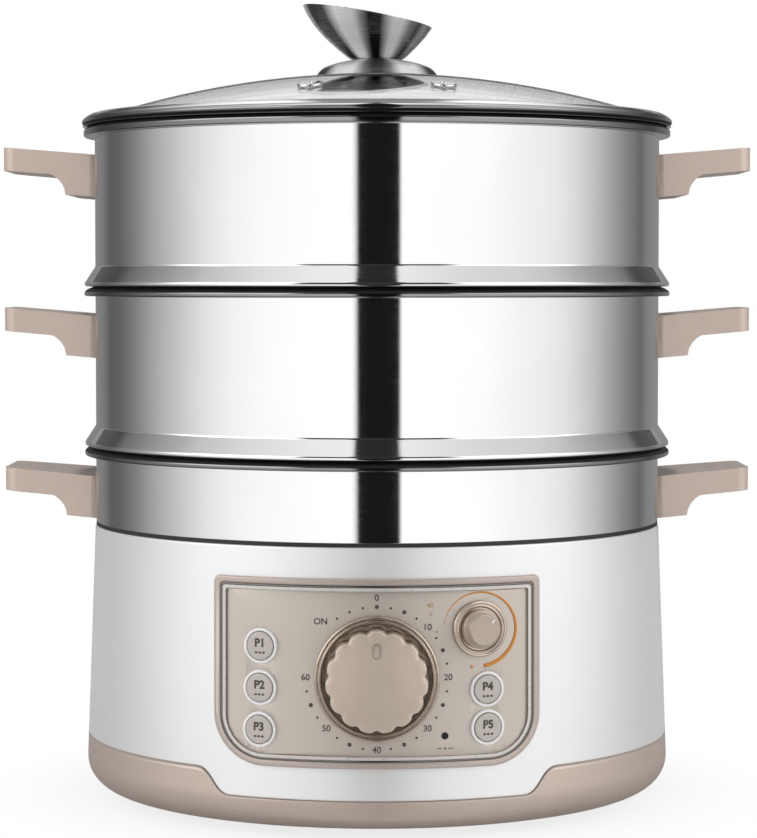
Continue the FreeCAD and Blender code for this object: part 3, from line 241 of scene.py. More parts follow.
# darker and lighter tone, range of roughness, metallic share, grain, bump and its depth, upright stretch
finishTable = {
    "polishedSteel": ((0.84, 0.84, 0.845), (0.87, 0.87, 0.875), (0.035, 0.075), 1.0, 30, 0.02, 5e-5, 60),
    # painted shade: a darker copy of the polished steel, for the rolled beads and the lid's roll
    "paintedShadeSteel": ((0.27, 0.27, 0.275), (0.31, 0.31, 0.315), (0.05, 0.09), 1.0, 30, 0.02, 5e-5, 60),
    "satinSteel": ((0.62, 0.62, 0.62), (0.7, 0.7, 0.7), (0.22, 0.34), 1.0, 40, 0.08, 1e-4, 60),
    "pearlWhite": ((0.93, 0.93, 0.935), (0.96, 0.96, 0.96), (0.38, 0.41), 0.55, 260, 0.01, 5e-5),
    "taupeCoat": ((0.6, 0.485, 0.42), (0.63, 0.515, 0.45), (0.36, 0.42), 0.3, 300, 0.01, 5e-5),
    "skirtTaupe": ((0.62, 0.515, 0.45), (0.65, 0.545, 0.48), (0.34, 0.38), 0.45, 300, 0.01, 5e-5),
    "frameTaupe": ((0.53, 0.45, 0.4), (0.56, 0.48, 0.43), (0.36, 0.4), 0.4, 60, 0.0, 5e-5),
    "panelSilver": ((0.6, 0.535, 0.475), (0.63, 0.565, 0.505), (0.34, 0.4), 0.3, 300, 0.01, 5e-5),
    "dialTaupe": ((0.62, 0.52, 0.44), (0.65, 0.55, 0.47), (0.16, 0.2), 0.85, 200, 0.005, 5e-5),
    "knobFace": ((0.72, 0.6, 0.5), (0.75, 0.63, 0.53), (0.3, 0.36), 0.4, 220, 0.005, 5e-5),
    # painted shade: the narrow band in the groove between the frame and the silver trim is coloured dark
    "paintedGrooveShade": ((0.2, 0.185, 0.175), (0.23, 0.215, 0.205), (0.16, 0.2), 0.8, 300, 0.01, 5e-5),
    "silverTrim": ((0.66, 0.63, 0.605), (0.69, 0.66, 0.635), (0.26, 0.32), 0.15, 300, 0.01, 5e-5),
    "heatFace": ((0.5, 0.41, 0.34), (0.53, 0.44, 0.37), (0.28, 0.34), 0.4, 220, 0.005, 5e-5),
    "markTaupe": ((0.3, 0.25, 0.21), (0.34, 0.29, 0.25), (0.3, 0.4), 0.2, 300, 0.01, 5e-5),
    "ringWhite": ((0.88, 0.87, 0.86), (0.92, 0.91, 0.9), (0.18, 0.25), 0.0, 300, 0.02, 1e-4),
    "buttonSilver": ((0.56, 0.515, 0.475), (0.59, 0.545, 0.505), (0.34, 0.42), 0.3, 300, 0.01, 5e-5),
    "printDark": ((0.075, 0.06, 0.05), (0.1, 0.085, 0.075), (0.45, 0.55), 0.0, 300, 0.02, 1e-4),
    "printOrange": ((0.66, 0.26, 0.045), (0.7, 0.29, 0.06), (0.4, 0.5), 0.0, 300, 0.02, 1e-4),
    "printBrown": ((0.46, 0.27, 0.13), (0.5, 0.3, 0.15), (0.4, 0.5), 0.0, 300, 0.02, 1e-4),
    "sealBlack": ((0.015, 0.015, 0.016), (0.03, 0.03, 0.03), (0.5, 0.65), 0.0, 700, 0.1, 2e-4),
    # painted shadow: near-black for the seams on top of the beads and in the lid rim's notch
    "paintedSeamShadow": ((0.01, 0.01, 0.011), (0.018, 0.018, 0.018), (0.4, 0.5), 0.5, 300, 0.02, 1e-4),
    "washerPale": ((0.8, 0.8, 0.79), (0.86, 0.86, 0.85), (0.5, 0.6), 0.0, 500, 0.05, 1e-4),
    "footRubber": ((0.02, 0.02, 0.021), (0.04, 0.04, 0.04), (0.6, 0.75), 0.0, 600, 0.2, 3e-4),
    "knobInsert": ((0.012, 0.012, 0.013), (0.025, 0.025, 0.025), (0.35, 0.5), 0.0, 900, 0.1, 2e-4),
    "innerPlastic": ((0.045, 0.045, 0.047), (0.07, 0.07, 0.072), (0.45, 0.6), 0.0, 500, 0.15, 3e-4),
    "inletBlack": ((0.02, 0.02, 0.02), (0.035, 0.035, 0.035), (0.35, 0.5), 0.0, 600, 0.12, 2e-4),
    "zincSteel": ((0.5, 0.5, 0.47), (0.6, 0.6, 0.57), (0.3, 0.42), 1.0, 250, 0.05, 2e-4),
    "castMetal": ((0.45, 0.45, 0.46), (0.55, 0.55, 0.56), (0.45, 0.6), 1.0, 300, 0.25, 4e-4),
    "brassFinish": ((0.6, 0.43, 0.15), (0.68, 0.5, 0.2), (0.22, 0.32), 1.0, 300, 0.03, 1e-4),
    "boardGreen": ((0.02, 0.1, 0.04), (0.03, 0.13, 0.05), (0.35, 0.45), 0.0, 300, 0.08, 2e-4),
    "lampRed": ((0.55, 0.06, 0.03), (0.62, 0.08, 0.04), (0.15, 0.22), 0.0, 300, 0.02, 2e-4),
    "lensSmoke": ((0.006, 0.006, 0.005), (0.01, 0.009, 0.008), (0.3, 0.36), 0.0, 300, 0.02, 2e-4),
}
finishes = {name: grainedFinish(name, *values) for name, values in finishTable.items()}
glosses = {
    "pearlWhite": {"Coat Weight": 0.15, "Sheen Weight": 1.0, "Sheen Roughness": 0.35},
    "taupeCoat": {"Coat Weight": 0.2, "Coat Roughness": 0.2},
    "skirtTaupe": {"Coat Weight": 0.1, "Coat Roughness": 0.2},
    "ringWhite": {"Coat Weight": 0.4},
    "lensSmoke": {"Specular IOR Level": 0.3},
}
for name, gloss in glosses.items():
    tree = finishes[name].node_tree
    setInputs(tree, tree.nodes["Principled BSDF"], gloss)
finishes["clearGlass"] = glassFinish()
# painted reflections on the knob bowl and skirt: the bright and dark bands are in the colour, not reflected
finishes["bowlPaintedReflection"] = paintedReflectionSteel("bowlPaintedReflection", [
    (-180, 0.1), (-165, 0.8), (-140, 0.3), (-120, 0.1), (-100, 0.7), (-80, 0.6), (-70, 0.03), (-50, 0.05),
    (-38, 1.0), (-22, 1.0), (-14, 0.3), (-8, 0.01), (3, 0.01), (9, 0.5), (16, 1.0), (26, 0.9), (36, 0.25),
    (48, 0.03), (60, 0.3), (74, 0.1), (85, 0.5), (100, 0.7), (120, 0.15), (140, 0.4), (165, 0.7), (180, 0.1)], 0.4)
finishes["capPaintedReflection"] = paintedReflectionSteel("capPaintedReflection", [
    (-180, 0.2), (-150, 0.8), (-120, 0.3), (-90, 0.5), (-72, 0.02), (-58, 0.05), (-42, 0.8), (-24, 0.9),
    (-13, 0.2), (-5, 0.05), (5, 0.05), (13, 0.2), (24, 0.9), (42, 0.8), (58, 0.05), (72, 0.02), (90, 0.5),
    (120, 0.3), (150, 0.8), (180, 0.2)], 0.1)
print("finishes made")

nodeFinishes = {
    "knobInsert": ["knob_core"], "washerPale": ["knob_washer"],
    "satinSteel": ["upper_handle_screws", "lower_handle_screws", "pot_handle_screws", "upper_steam_plate",
                   "lower_steam_plate"],
    "sealBlack": ["pot_seal"], "footRubber": ["feet"], "boardGreen": ["button_boards"],
    "innerPlastic": ["bottom_cover", "heat_switch_body", "thermostat"],
    "zincSteel": ["knob_screw", "cover_screws", "timer_shaft", "timer_body", "heat_shaft", "heating_tube",
                  "thermal_fuse"],
    "lensSmoke": ["indicator_lens"], "lampRed": ["indicator_lamp"], "castMetal": ["heating_plate"],
    "inletBlack": ["inlet_housing"], "brassFinish": ["inlet_pins"],
}
for finishName, nodeNames in nodeFinishes.items():
    for nodeName in nodeNames:
        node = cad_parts[nodeName]
        node.visible_glossy = "screw" not in nodeName  # keeps the steel walls clear of their mirror images
        node.data.materials.clear()
        node.data.materials.append(finishes[finishName])
print("carried-over nodes finished")


# steel shells

def rimCorners(top, seam):
    # from the wall under the bead, round it and over to the inside: a flat front, its upper half sloping back
    wall, inside = stack["wall"], stack["inside"]
    out, low, front = wall + stack["rimOut"], top - stack["rimHeight"], top - seam
    return [(wall, low, 0.25), (out - 0.1, low, 0.7), (out, front - 0.1, 0.5), (out - 1.7, front + 1.4, 0.5),
            (out - 4.4, top, 0.4), (inside + 0.4, top, 0.6), (inside, top - 0.6, 0.3)]


def shadeRim(shell, top, seam):
    # painted shade: the bead gets the darker steel copy, and the seam on its top a near-black painted shadow
    shadeZone(shell, "paintedShadeSteel", top - stack["rimHeight"] - 0.1, top + 0.1, stack["wall"] + 0.4)
    shadeZone(shell, "paintedSeamShadow", top - seam, top + 0.1, stack["inside"] + 0.5)


def tierShell(name, seat, rider, seam):
    tier = {"height": 78.4, "spigotRadius": 138.6, "spigot": 9.0, "ledge": 7.0, "flareOut": 5.3,
            "flareHeight": 10.0, "foot": 2.0, "footWall": 0.9}
    sheet = stack["sheet"]
    top, low = seat + tier["height"], seat - tier["spigot"]
    foot = stack["wall"] + tier["flareOut"]
    footInside = foot - tier["footWall"]
    spigot, ledge = tier["spigotRadius"], tier["spigotRadius"] - tier["ledge"]
    corners = [
        (ledge, low), (spigot, low, 0.7), (spigot, seat), (footInside, seat + 0.1, 0.3), (foot, seat + 0.7, 0.35),
        (foot - 0.1, seat + tier["foot"], 0.4), (stack["wall"], seat + tier["flareHeight"], 0.5),
        *rimCorners(top, seam), (stack["inside"], seat + tier["flareHeight"] - 0.4, 0.5),
        (footInside, seat + tier["foot"] - 0.3, 0.3), (footInside, seat + sheet), (spigot - sheet, seat + sheet),
        (spigot - sheet, low + sheet), (ledge, low + sheet),
    ]
    shell = addPiece(name, spunSection(corners), rider, "polishedSteel", "polished_steel",
                     [rider + "_shell"])
    shadeRim(shell, top, seam)


def potShell():
    pot = {"neck": 137.4, "shoulder": 120.2, "well": 100.0, "floor": 82.2}
    t = stack["sheet"]
    corners = [
        (0, pot["floor"] - t), (pot["well"], pot["floor"] - t, 6.0), (pot["well"], pot["shoulder"] - t, 2.0),
        (pot["neck"], pot["shoulder"] - t, 4.0), (pot["neck"], stack["band"]), (stack["wall"], stack["band"], 0.3),
        *rimCorners(stack["potRim"], stack["seam"]), (stack["inside"], stack["band"] + t),
        (pot["neck"] - t, stack["band"] + t), (pot["neck"] - t, pot["shoulder"], 3.2),
        (pot["well"] - t, pot["shoulder"], 2.6), (pot["well"] - t, pot["floor"], 5.2), (0, pot["floor"]),
    ]
    shell = addPiece("waterPot", spunSection(corners, closed=False), "base", "polishedSteel",
                     "polished_steel", ["water_pot"])
    shadeRim(shell, stack["potRim"], stack["seam"])


tierShell("upperTierShell", stack["lowerRim"], "upper_tier", stack["upperSeam"])
tierShell("lowerTierShell", stack["potRim"], "lower_tier", stack["seam"])
potShell()
print("steel shells made")


# handles

def sideHandle(name, rim, side, rider, node):
    grip = {"end": 183.3, "drop": 10.2, "lip": 11.4, "block": 20.6, "slope": 4.9, "stepIn": 152.0, "stepOut": 159.0,
            "halfWall": 34.0, "halfEnd": 26.0, "corner": 6.0, "edge": 1.2, "root": 136.0, "stepCuts": 12}
    top = rim - grip["drop"]
    tilt = math.tan(math.radians(grip["slope"]))
    run = grip["stepOut"] - grip["stepIn"]
    bm = bmesh.new()
    # plan of the ear, then its top and bottom follow the slope and the step
    half = [(grip["root"], grip["halfWall"]), (stack["wall"], grip["halfWall"]), (grip["end"], grip["halfEnd"])]
    face = bm.faces.new([bm.verts.new((x, y, 0)) for x, y in [(x, -y) for x, y in half] + half[::-1]])
    roundOff(bm, [v for v in face.verts if v.co.x > grip["end"] - 1], grip["corner"], 12)
    for i in range(grip["stepCuts"] + 1):
        sliceAt(bm, (grip["stepIn"] + run * i / grip["stepCuts"], 0, 0), (1, 0, 0))
    for y in range(-30, 31, 5):  # lets the root follow the wall
        sliceAt(bm, (0, y, 0), (0, 1, 0))
    under = newVerts(bmesh.ops.extrude_face_region(bm, geom=bm.faces[:]))
    for v in bm.verts:
        v.co.z = top - (grip["end"] - v.co.x) * tilt
    for v in under:
        share = min(max((v.co.x - grip["stepIn"]) / run, 0), 1)
        swing = math.sqrt(1 - (1 - share) ** 2) * 0.75 + share * 0.25  # a quarter circle, a little straighter
        v.co.z -= grip["block"] + (grip["lip"] - grip["block"]) * swing
    faceOutwards(bm)
    roundOff(bm, sharpEdges(bm, 55, lambda co: co.x > grip["root"] + 1), grip["edge"], 4, "EDGES", clamp=True)
    for v in bm.verts:  # the root follows the round wall
        if v.co.x < grip["root"] + 0.5:
            v.co.x = math.sqrt((stack["wall"] + 0.2) ** 2 - min(abs(v.co.y), grip["halfWall"]) ** 2)
    if side < 0:
        bmesh.ops.scale(bm, vec=(-1, 1, 1), verts=bm.verts[:])
    handle = addPiece(name, faceOutwards(bm), rider, "taupeCoat", "taupe_plastic", [node])
    handle.visible_glossy = False  # keeps the steel walls clear of its mirror image


for label, rim, rider in (("upper", stack["upperRim"], "upper_tier"), ("lower", stack["lowerRim"], "lower_tier"),
                          ("pot", stack["potRim"], "base")):
    sideHandle(label + "HandleLeft", rim, -1, rider, label + "_handle_left")
    sideHandle(label + "HandleRight", rim, 1, rider, label + "_handle_right")
print("handles made")


# lid

dome = {"radius": 440.0, "centre": -83.53, "glass": 3.2, "edge": 138.6, "bore": 3.3,
        "ventX": 31.0, "ventY": -97.0}


def domeHeight(r):
    return dome["centre"] + math.sqrt(dome["radius"] ** 2 - r ** 2)


def lidGlass():
    bm = bmesh.new()
    ends = []
    for radius in (dome["radius"] - dome["glass"], dome["radius"]):
        first = math.asin(dome["bore"] / radius)
        last = math.asin(dome["edge"] / radius)
        start = bm.verts.new((radius * math.sin(first), 0, dome["centre"] + radius * math.cos(first)))
        arc = bmesh.ops.spin(bm, geom=[start], cent=(0, 0, dome["centre"]), axis=(0, 1, 0), dvec=(0, 0, 0),
                             angle=last - first, steps=36, use_merge=False)
        ends.append((start, newVerts(arc, "geom_last")[0]))
    for pair in zip(*ends):
        bm.edges.new(pair)
    roundOff(bm, [end for _, end in ends], 0.8, 4)
    return spinAround(bm)


def lidRim():
    z = stack["upperRim"]
    rim = {"flange": 146.6, "shoulder": 145.2, "lip": 136.0, "hem": 137.8, "inner": 143.4}
    sheet = stack["sheet"]
    outer = rim["hem"] + sheet
    over = domeHeight(rim["lip"])
    corners = [
        (rim["hem"], z - 5.0), (outer, z - 5.0, 0.3), (outer, z), (rim["flange"] - 0.8, z + 0.05, 0.2),
        (rim["flange"] - 0.8, z + 0.6, 0.2), (rim["shoulder"], z + 0.8, 0.15), (rim["flange"] - 0.1, z + 2.2, 0.7),
        (rim["shoulder"] + 0.6, z + 3.9, 1.2), (rim["shoulder"] - 3.4, z + 6.3, 1.4), (rim["lip"], over + 1.0, 0.3),
        (rim["lip"], over + seatGap), (rim["inner"] - 2.0, z + 5.6, 0.5), (rim["inner"], z + 3.6, 0.5),
        (rim["inner"], z + sheet), (rim["hem"], z + sheet),
    ]
    return spunSection(corners)


def ventGrommets():
    vent = {"hole": 1.6, "neck": 3.7, "collar": 6.0, "thick": 1.6}
    low, top = -dome["glass"] - seatGap, seatGap
    parts = []
    for x in (-dome["ventX"], dome["ventX"]):
        bm = spunSection([
            (vent["hole"], low - vent["thick"]), (vent["collar"], low - vent["thick"], 0.4), (vent["collar"], low),
            (vent["neck"], low), (vent["neck"], top), (vent["collar"], top),
            (vent["collar"], top + vent["thick"], 0.8), (vent["hole"], top + vent["thick"], 0.5)], 48)
        place = Vector((x, dome["ventY"], domeHeight(math.hypot(x, dome["ventY"]))))
        square = place - Vector((0, 0, dome["centre"]))
        bm.transform(Matrix.Translation(place) @ square.to_track_quat("Z", "Y").to_matrix().to_4x4())
        parts.append(bm)
    return joinMeshes(parts)


knob = {"skirtRadius": 30.4, "skirtHeight": 8.5, "neck": 12.7, "wall": 1.0, "tilt": 10.1, "lean": 5.0,
        "middle": 20.6, "bowl": ((3.2, 2.5), (7.6, 6.5), (12.6, 11.5), (17.0, 17.0), (20.6, 23.5), (22.4, 29.0))}
knob["low"] = domeHeight(knob["skirtRadius"]) + seatGap
knob["neckHeight"] = knob["low"] + knob["skirtHeight"]


def knobSkirt():
    low, high, r = knob["low"], knob["neckHeight"], knob["skirtRadius"]
    corners = [(dome["bore"], low + 1.2), (r - 1.2, low), (r, low, 0.3), (r - 1.6, low + 3.4, 3.0),
               (0.74 * r, low + 6.3, 5.0), (knob["neck"] + 1.5, high - 0.5, 2.0), (knob["neck"] - 1, high),
               (dome["bore"], high)]
    return spunSection(corners, 128)


def knobBowl():
    base, neck, wall = knob["neckHeight"], knob["neck"], knob["wall"]
    outside = [(neck, base)] + [(neck + out, base + up) for out, up in knob["bowl"]]
    inside = [(neck - wall, base + wall)] + [(neck + out - wall, base + up) for out, up in knob["bowl"]]
    corners = [(dome["bore"], base), *[(r, z, 1.6) for r, z in outside[:-1]], outside[-1],
               *[(r, z, 1.4) for r, z in reversed(inside)][:-1], inside[0], (dome["bore"], base + wall)]
    bm = spunSection(corners, 160)
    for v in bm.verts:
        v.co.x -= (v.co.z - base) * math.tan(math.radians(knob["lean"]))
    tilt = math.radians(knob["tilt"])
    sliceAt(bm, (0, 0, base + knob["middle"]), (math.sin(tilt), 0, math.cos(tilt)), clearOuter=True)
    bmesh.ops.bridge_loops(bm, edges=[e for e in bm.edges if e.is_boundary])
    roundOff(bm, sharpEdges(bm, 50, lambda co: co.z > base + 10), 0.35, 3, "EDGES")
    return faceOutwards(bm)


addPiece("lidGlass", lidGlass(), "lid", "clearGlass", "clear_glass", ["lid_glass"])
rimPiece = addPiece("lidRim", lidRim(), "lid", "polishedSteel", "polished_steel", ["lid_rim"])
# painted shade: the lid rim's lower roll gets the darker steel copy, and its notch a near-black painted shadow
shadeZone(rimPiece, "paintedShadeSteel", stack["upperRim"] - 0.1, stack["upperRim"] + 3.1, 144.0)
shadeZone(rimPiece, "paintedSeamShadow", stack["upperRim"] + 0.3, stack["upperRim"] + 1.5, 144.0)
addPiece("ventGrommets", ventGrommets(), "lid", "polishedSteel", "polished_steel", ["vent_grommets"])
for piece in (addPiece("knobSkirt", knobSkirt(), "lid", "capPaintedReflection", "polished_steel", ["knob_skirt"]),
              addPiece("knobBowl", knobBowl(), "lid", "bowlPaintedReflection", "polished_steel", ["knob_bowl"])):
    piece.visible_glossy = False  # the glass lid stays clear of its mirror image
    piece.data.materials.append(finishes["washerPale"])
    for face in piece.data.polygons:
        if face.normal.z < -0.9 and face.center.z * 1000 < knob["low"] + 2:
            face.material_index = 1  # the underside, seen through the glass
print("lid made")


# base housing and skirt

tongue = {"halfWidth": 67.0, "run": 16.0, "drop": 12.0, "gap": 0.3}


def tongueDrop(x, grow=0.0):
    # how far the parting line drops at a place across the front
    across = abs(x) - tongue["halfWidth"] - grow
    if across <= 0:
        return tongue["drop"]
    if across >= tongue["run"]:
        return 0.0
    low, high = 0.0, 1.0
    for _ in range(30):
        t = (low + high) / 2
        if 1.5 * t * (1 - t) + t ** 3 < across / tongue["run"]:
            low = t
        else:
            high = t
    return tongue["drop"] * (1 - 3 * t * t + 2 * t ** 3)


def baseHousing():
    shell = {"wall": 2.4, "steps": 720, "blend": 20.0}
    z0, z1, z2 = body["split"], body["split"] + shell["blend"], body["top"]
    corners = [(housingRadius(z0) - shell["wall"], z0), (housingRadius(z0), z0, 0.5), (housingRadius(z1), z1),
               (housingRadius(z2), z2, 1.0), (housingRadius(z2) - shell["wall"], z2),
               (housingRadius(z1) - shell["wall"], z1)]
    bm = spunSection(corners, shell["steps"])
    for v in bm.verts:
        below = (z1 - v.co.z) / shell["blend"]
        if below > 0 and v.co.y < 0:
            moved = v.co.z - tongueDrop(v.co.x) * below
            grow = housingRadius(moved) / housingRadius(v.co.z)
            v.co = (v.co.x * grow, v.co.y * grow, moved)
    return bm


def arcThrough(a, b, c):
    # centre and radius of the circle through three points of a section
    ax, az, bx, bz, cx, cz = *a, *b, *c
    d = 2 * (ax * (bz - cz) + bx * (cz - az) + cx * (az - bz))
    aa, bb, cc = ax * ax + az * az, bx * bx + bz * bz, cx * cx + cz * cz
    x = (aa * (bz - cz) + bb * (cz - az) + cc * (az - bz)) / d
    z = (aa * (cx - bx) + bb * (ax - cx) + cc * (bx - ax)) / d
    return x, z, math.hypot(ax - x, az - z)


def baseSkirt():
    skirt = {"foot": 130.0, "floor": 12.0, "low": 4.0, "corner": 19.6, "cornerRadius": 144.73, "innerCorner": 140.4,
             "arcOut": 4.3, "arcUp": 4.4, "top": 30.7, "lap": 37.0, "wall": 2.7, "sheet": 2.4, "lapWall": 1.6,
             "free": 12.0, "outerFrom": 137.2, "steps": 720}
    low, corner, top, lap = skirt["low"], skirt["corner"], skirt["top"], skirt["lap"]
    foot, floor, sheet = skirt["foot"], skirt["foot"] - skirt["floor"], skirt["sheet"]
    middle = (skirt["cornerRadius"] - skirt["arcOut"], low + skirt["arcUp"])
    arcX, arcZ, arcRadius = arcThrough((foot, low), middle, (skirt["cornerRadius"], corner))

    def outsideRadius(z):
        if z > corner:
            share = (z - corner) / (top - corner)
            return skirt["cornerRadius"] + (housingRadius(top) - skirt["cornerRadius"]) * share
        return arcX + math.sqrt(max(arcRadius ** 2 - (z - arcZ) ** 2, 0))

    heights = [low + (corner - low) * (i / 14) ** 1.6 for i in range(1, 15)]
    heights += [corner + (top - corner) * i / 6 for i in range(1, 7)]
    lapRadius = housingRadius(lap) - skirt["wall"]
    corners = [(floor, low), (foot, low), *[(outsideRadius(z), z) for z in heights],
               (housingRadius(top) - skirt["wall"], top), (lapRadius, lap), (lapRadius - skirt["lapWall"], lap),
               (skirt["innerCorner"], corner), (middle[0] - sheet, middle[1] + sheet), (foot, low + sheet),
               (floor, low + sheet)]
    bm = spunSection(corners, skirt["steps"])
    for v in bm.verts:
        r = math.hypot(v.co.x, v.co.y)
        if v.co.y > 0 or not skirt["free"] < v.co.z < top + 0.01 or r < skirt["outerFrom"]:
            continue
        share = (v.co.z - skirt["free"]) / (top - skirt["free"])
        moved = v.co.z - tongueDrop(v.co.x, tongue["gap"]) * share
        onLedge = abs(v.co.z - top) < 0.01 and r < housingRadius(top) - 1
        setRadius(v, housingRadius(moved) - skirt["wall"] if onLedge else outsideRadius(moved), moved)
    return bm


addPiece("baseHousing", baseHousing(), "base", "pearlWhite", "white_housing", ["base_housing"])
addPiece("baseSkirt", baseSkirt(), "base", "skirtTaupe", "taupe_plastic", ["base_skirt"])
print("base made")


# control panel

panel = {"halfWidth": 74.7, "low": 33.8, "high": 119.8, "lowCorner": 23.0, "topCorner": 3.0, "frame": 3.2,
         "frameRise": 1.8, "trim": 2.4, "darkTrim": 0.9, "darkRise": 1.5, "trimRise": 2.2, "rise": 1.2}


def panelRadius(up):
    return housingRadius(body["split"] + up) + panel["rise"]


def onPanel(bm, turn, up):
    # a piece built along +Z goes to its place on the panel and faces outwards
    bm.transform(Matrix.Rotation(math.radians(turn), 4, "Z")
                 @ Matrix.Translation((0, -panelRadius(up), body["split"] + up)) @ standUp)
    return bm


def panelOutline(inset):
    half = panel["halfWidth"] - inset
    low, high = panel["low"] + inset, panel["high"] - inset
    bm = bmesh.new()
    verts = [bm.verts.new((x, 0, z)) for x, z in ((half, low), (half, high), (-half, high), (-half, low))]
    bm.faces.new(verts)
    bm.normal_update()
    roundOff(bm, [verts[0], verts[3]], max(panel["lowCorner"] - inset, 1.4), 14)
    roundOff(bm, [verts[1], verts[2]], max(panel["topCorner"] - inset, 1.4), 5)
    bm.normal_update()
    return bm


def onHousing(bm, rise):
    # wrap a flat front-view shape onto the tapered wall; its y is the height above the surface
    for v in bm.verts:
        r = housingRadius(v.co.z) + rise - v.co.y
        v.co.y = -math.sqrt(r * r - v.co.x ** 2)
    return faceOutwards(bm)


def wrapped(bm, reach=75.0, strips=60):
    # narrow upright strips let a wide flat shape follow the round wall
    for i in range(1, strips):
        sliceAt(bm, (-reach + 2 * reach * i / strips, 0, 0), (1, 0, 0))
    return onHousing(bm, seatGap)


def panelBand(inset, width, rise, rounding):
    bm = joinMeshes([panelOutline(inset), panelOutline(inset + width)])
    bmesh.ops.delete(bm, geom=bm.faces[:], context="FACES_KEEP_BOUNDARY")
    bmesh.ops.bridge_loops(bm, edges=bm.edges[:])
    thicken(bm, (0, -rise, 0))
    faceOutwards(bm)
    roundOff(bm, sharpEdges(bm, 60, lambda co: co.y < -rise + 0.01), rounding, 4, "EDGES", clamp=True)
    return wrapped(bm)


addPiece("panelFrame", panelBand(0.0, panel["frame"], panel["frameRise"], 1.0), "base", "frameTaupe",
         "taupe_plastic", ["panel_frame"])
# painted shade: the dark band in the groove between the frame and the silver trim
addPiece("panelTrim", panelBand(panel["frame"], panel["darkTrim"], panel["darkRise"], 0.3), "base",
         "paintedGrooveShade", "chrome_trim", ["panel_trim"])
addPiece("panelTrimInner", panelBand(panel["frame"] + panel["darkTrim"], panel["trim"] - panel["darkTrim"],
                                     panel["trimRise"], 0.3), "base", "silverTrim", "chrome_trim")
print("panel made")


# timer

timer = {"turn": 0.0, "up": 43.9, "ring": 28.4, "hole": 5.6, "back": -3.0, "face": 3.2, "bed": 1.4,
         "bedRounding": 0.3,
         "section": ((0, 0, 0.9), (0.9, 0, 0.3), (1.2, 0.5, 0.2), (1.9, 0.5, 0.2), (2.1, 0, 0.3), (3.2, 0, 0.5)),
         "knob": 23.3, "lobes": 15, "lobeSteps": 14, "lobeDepth": 1.4, "lobeSharpness": 2.4, "front": 14.0,
         "lift": 0.5, "pointerAt": 14.1}


def controlRing(control, steps):
    # the section starts at the ring's outer edge and goes (inwards, down, rounding) from there to the bed
    r, hole, back, bed = control["ring"], control["hole"], control["back"], control["bed"]
    corners = [(hole, back), (r, back)]
    corners += [(r - inwards, control["face"] - down, rounding) for inwards, down, rounding in control["section"]]
    corners += [(r - control["section"][-1][0] - 0.2, bed, control["bedRounding"]), (hole, bed)]
    return onPanel(spunSection(corners, steps), control["turn"], control["up"])


def timerKnob():
    base = timer["bed"] + timer["lift"]
    bm = bmesh.new()
    bmesh.ops.create_circle(bm, cap_ends=True, radius=timer["knob"], segments=timer["lobes"] * timer["lobeSteps"])
    for v in bm.verts:
        turn = math.atan2(v.co.y, v.co.x) - math.pi / 2
        hollow = (0.5 - 0.5 * math.cos(turn * timer["lobes"])) ** timer["lobeSharpness"]
        shrink = 1 - timer["lobeDepth"] / timer["knob"] * hollow
        v.co = (v.co.x * shrink, v.co.y * shrink, base)
    face = bm.faces[:]
    bm.normal_update()
    rises = ((timer["front"] - 1.0 - base, 0.25), (0.55, 0.15), (0.35, 0.5))  # the side, then its rounded edge
    for step, (up, inwards) in enumerate(rises):
        made = bmesh.ops.extrude_face_region(bm, geom=face)
        for v in newVerts(made):
            setRadius(v, math.hypot(v.co.x, v.co.y) - inwards, v.co.z + up)
        if step:  # the first face stays as the knob's back
            bmesh.ops.delete(bm, geom=face, context="FACES_ONLY")
        face = [f for f in made["geom"] if isinstance(f, bmesh.types.BMFace)]
    # rings of a slightly domed front
    for radius, up in ((timer["knob"] - 3.4, 0.1), (16.0, 0.45), (11.0, 0.8), (6.0, 0.95)):
        bmesh.ops.inset_region(bm, faces=face, thickness=0.5, depth=0)
        for v in {v for f in face for v in f.verts}:
            setRadius(v, radius, timer["front"] - 0.1 + up)
    return onPanel(faceOutwards(bm), timer["turn"], timer["up"])


def pointerMark():
    # raised outline of a long rounded mark near the knob's edge
    mark = {"width": 3.8, "length": 7.0, "line": 0.5, "sunk": 0.35, "height": 0.4}
    bm = bmesh.new()
    half, tall = mark["width"] / 2, mark["length"] / 2
    verts = [bm.verts.new((x, timer["pointerAt"] + y, timer["front"] + mark["sunk"])) for x, y in
             ((-half, -tall), (half, -tall), (half, tall), (-half, tall))]
    bm.faces.new(verts)
    roundOff(bm, verts, half * 0.9, 6)
    bm.normal_update()
    bmesh.ops.inset_individual(bm, faces=bm.faces[:], thickness=mark["line"], depth=0, use_even_offset=True)
    bmesh.ops.delete(bm, geom=[max(bm.faces, key=lambda f: len(f.verts))], context="FACES")
    thicken(bm, (0, 0, mark["height"]))
    return onPanel(faceOutwards(bm), timer["turn"], timer["up"])


addPiece("timerRing", controlRing(timer, 160), "base", "dialTaupe", "panel_taupe", ["timer_dial_ring"])
addPiece("timerKnob", timerKnob(), "timer_knob", "knobFace", "knob_taupe", ["timer_knob"])
addPiece("pointerMark", pointerMark(), "timer_knob", "markTaupe", "knob_taupe")
print("timer made")


# heat knob

heat = {"turn": 19.0, "up": 65.5, "ring": 12.9, "hole": 3.6, "back": -2.0, "face": 1.7, "bed": 0.8,
        "bedRounding": 0.2,
        "section": ((0, 0, 0.7), (1.2, 0, 0.3), (1.5, 0.35, 0.15), (2, 0.35, 0.15), (2.2, 0, 0.2), (2.8, 0.2, 0.3)),
        "flange": 9.0, "flangeHeight": 3.0, "knob": 7.4, "front": 7.5, "lift": 0.5, "mark": 45.0,
        "markSize": (0.9, 2.0, 0.35)}


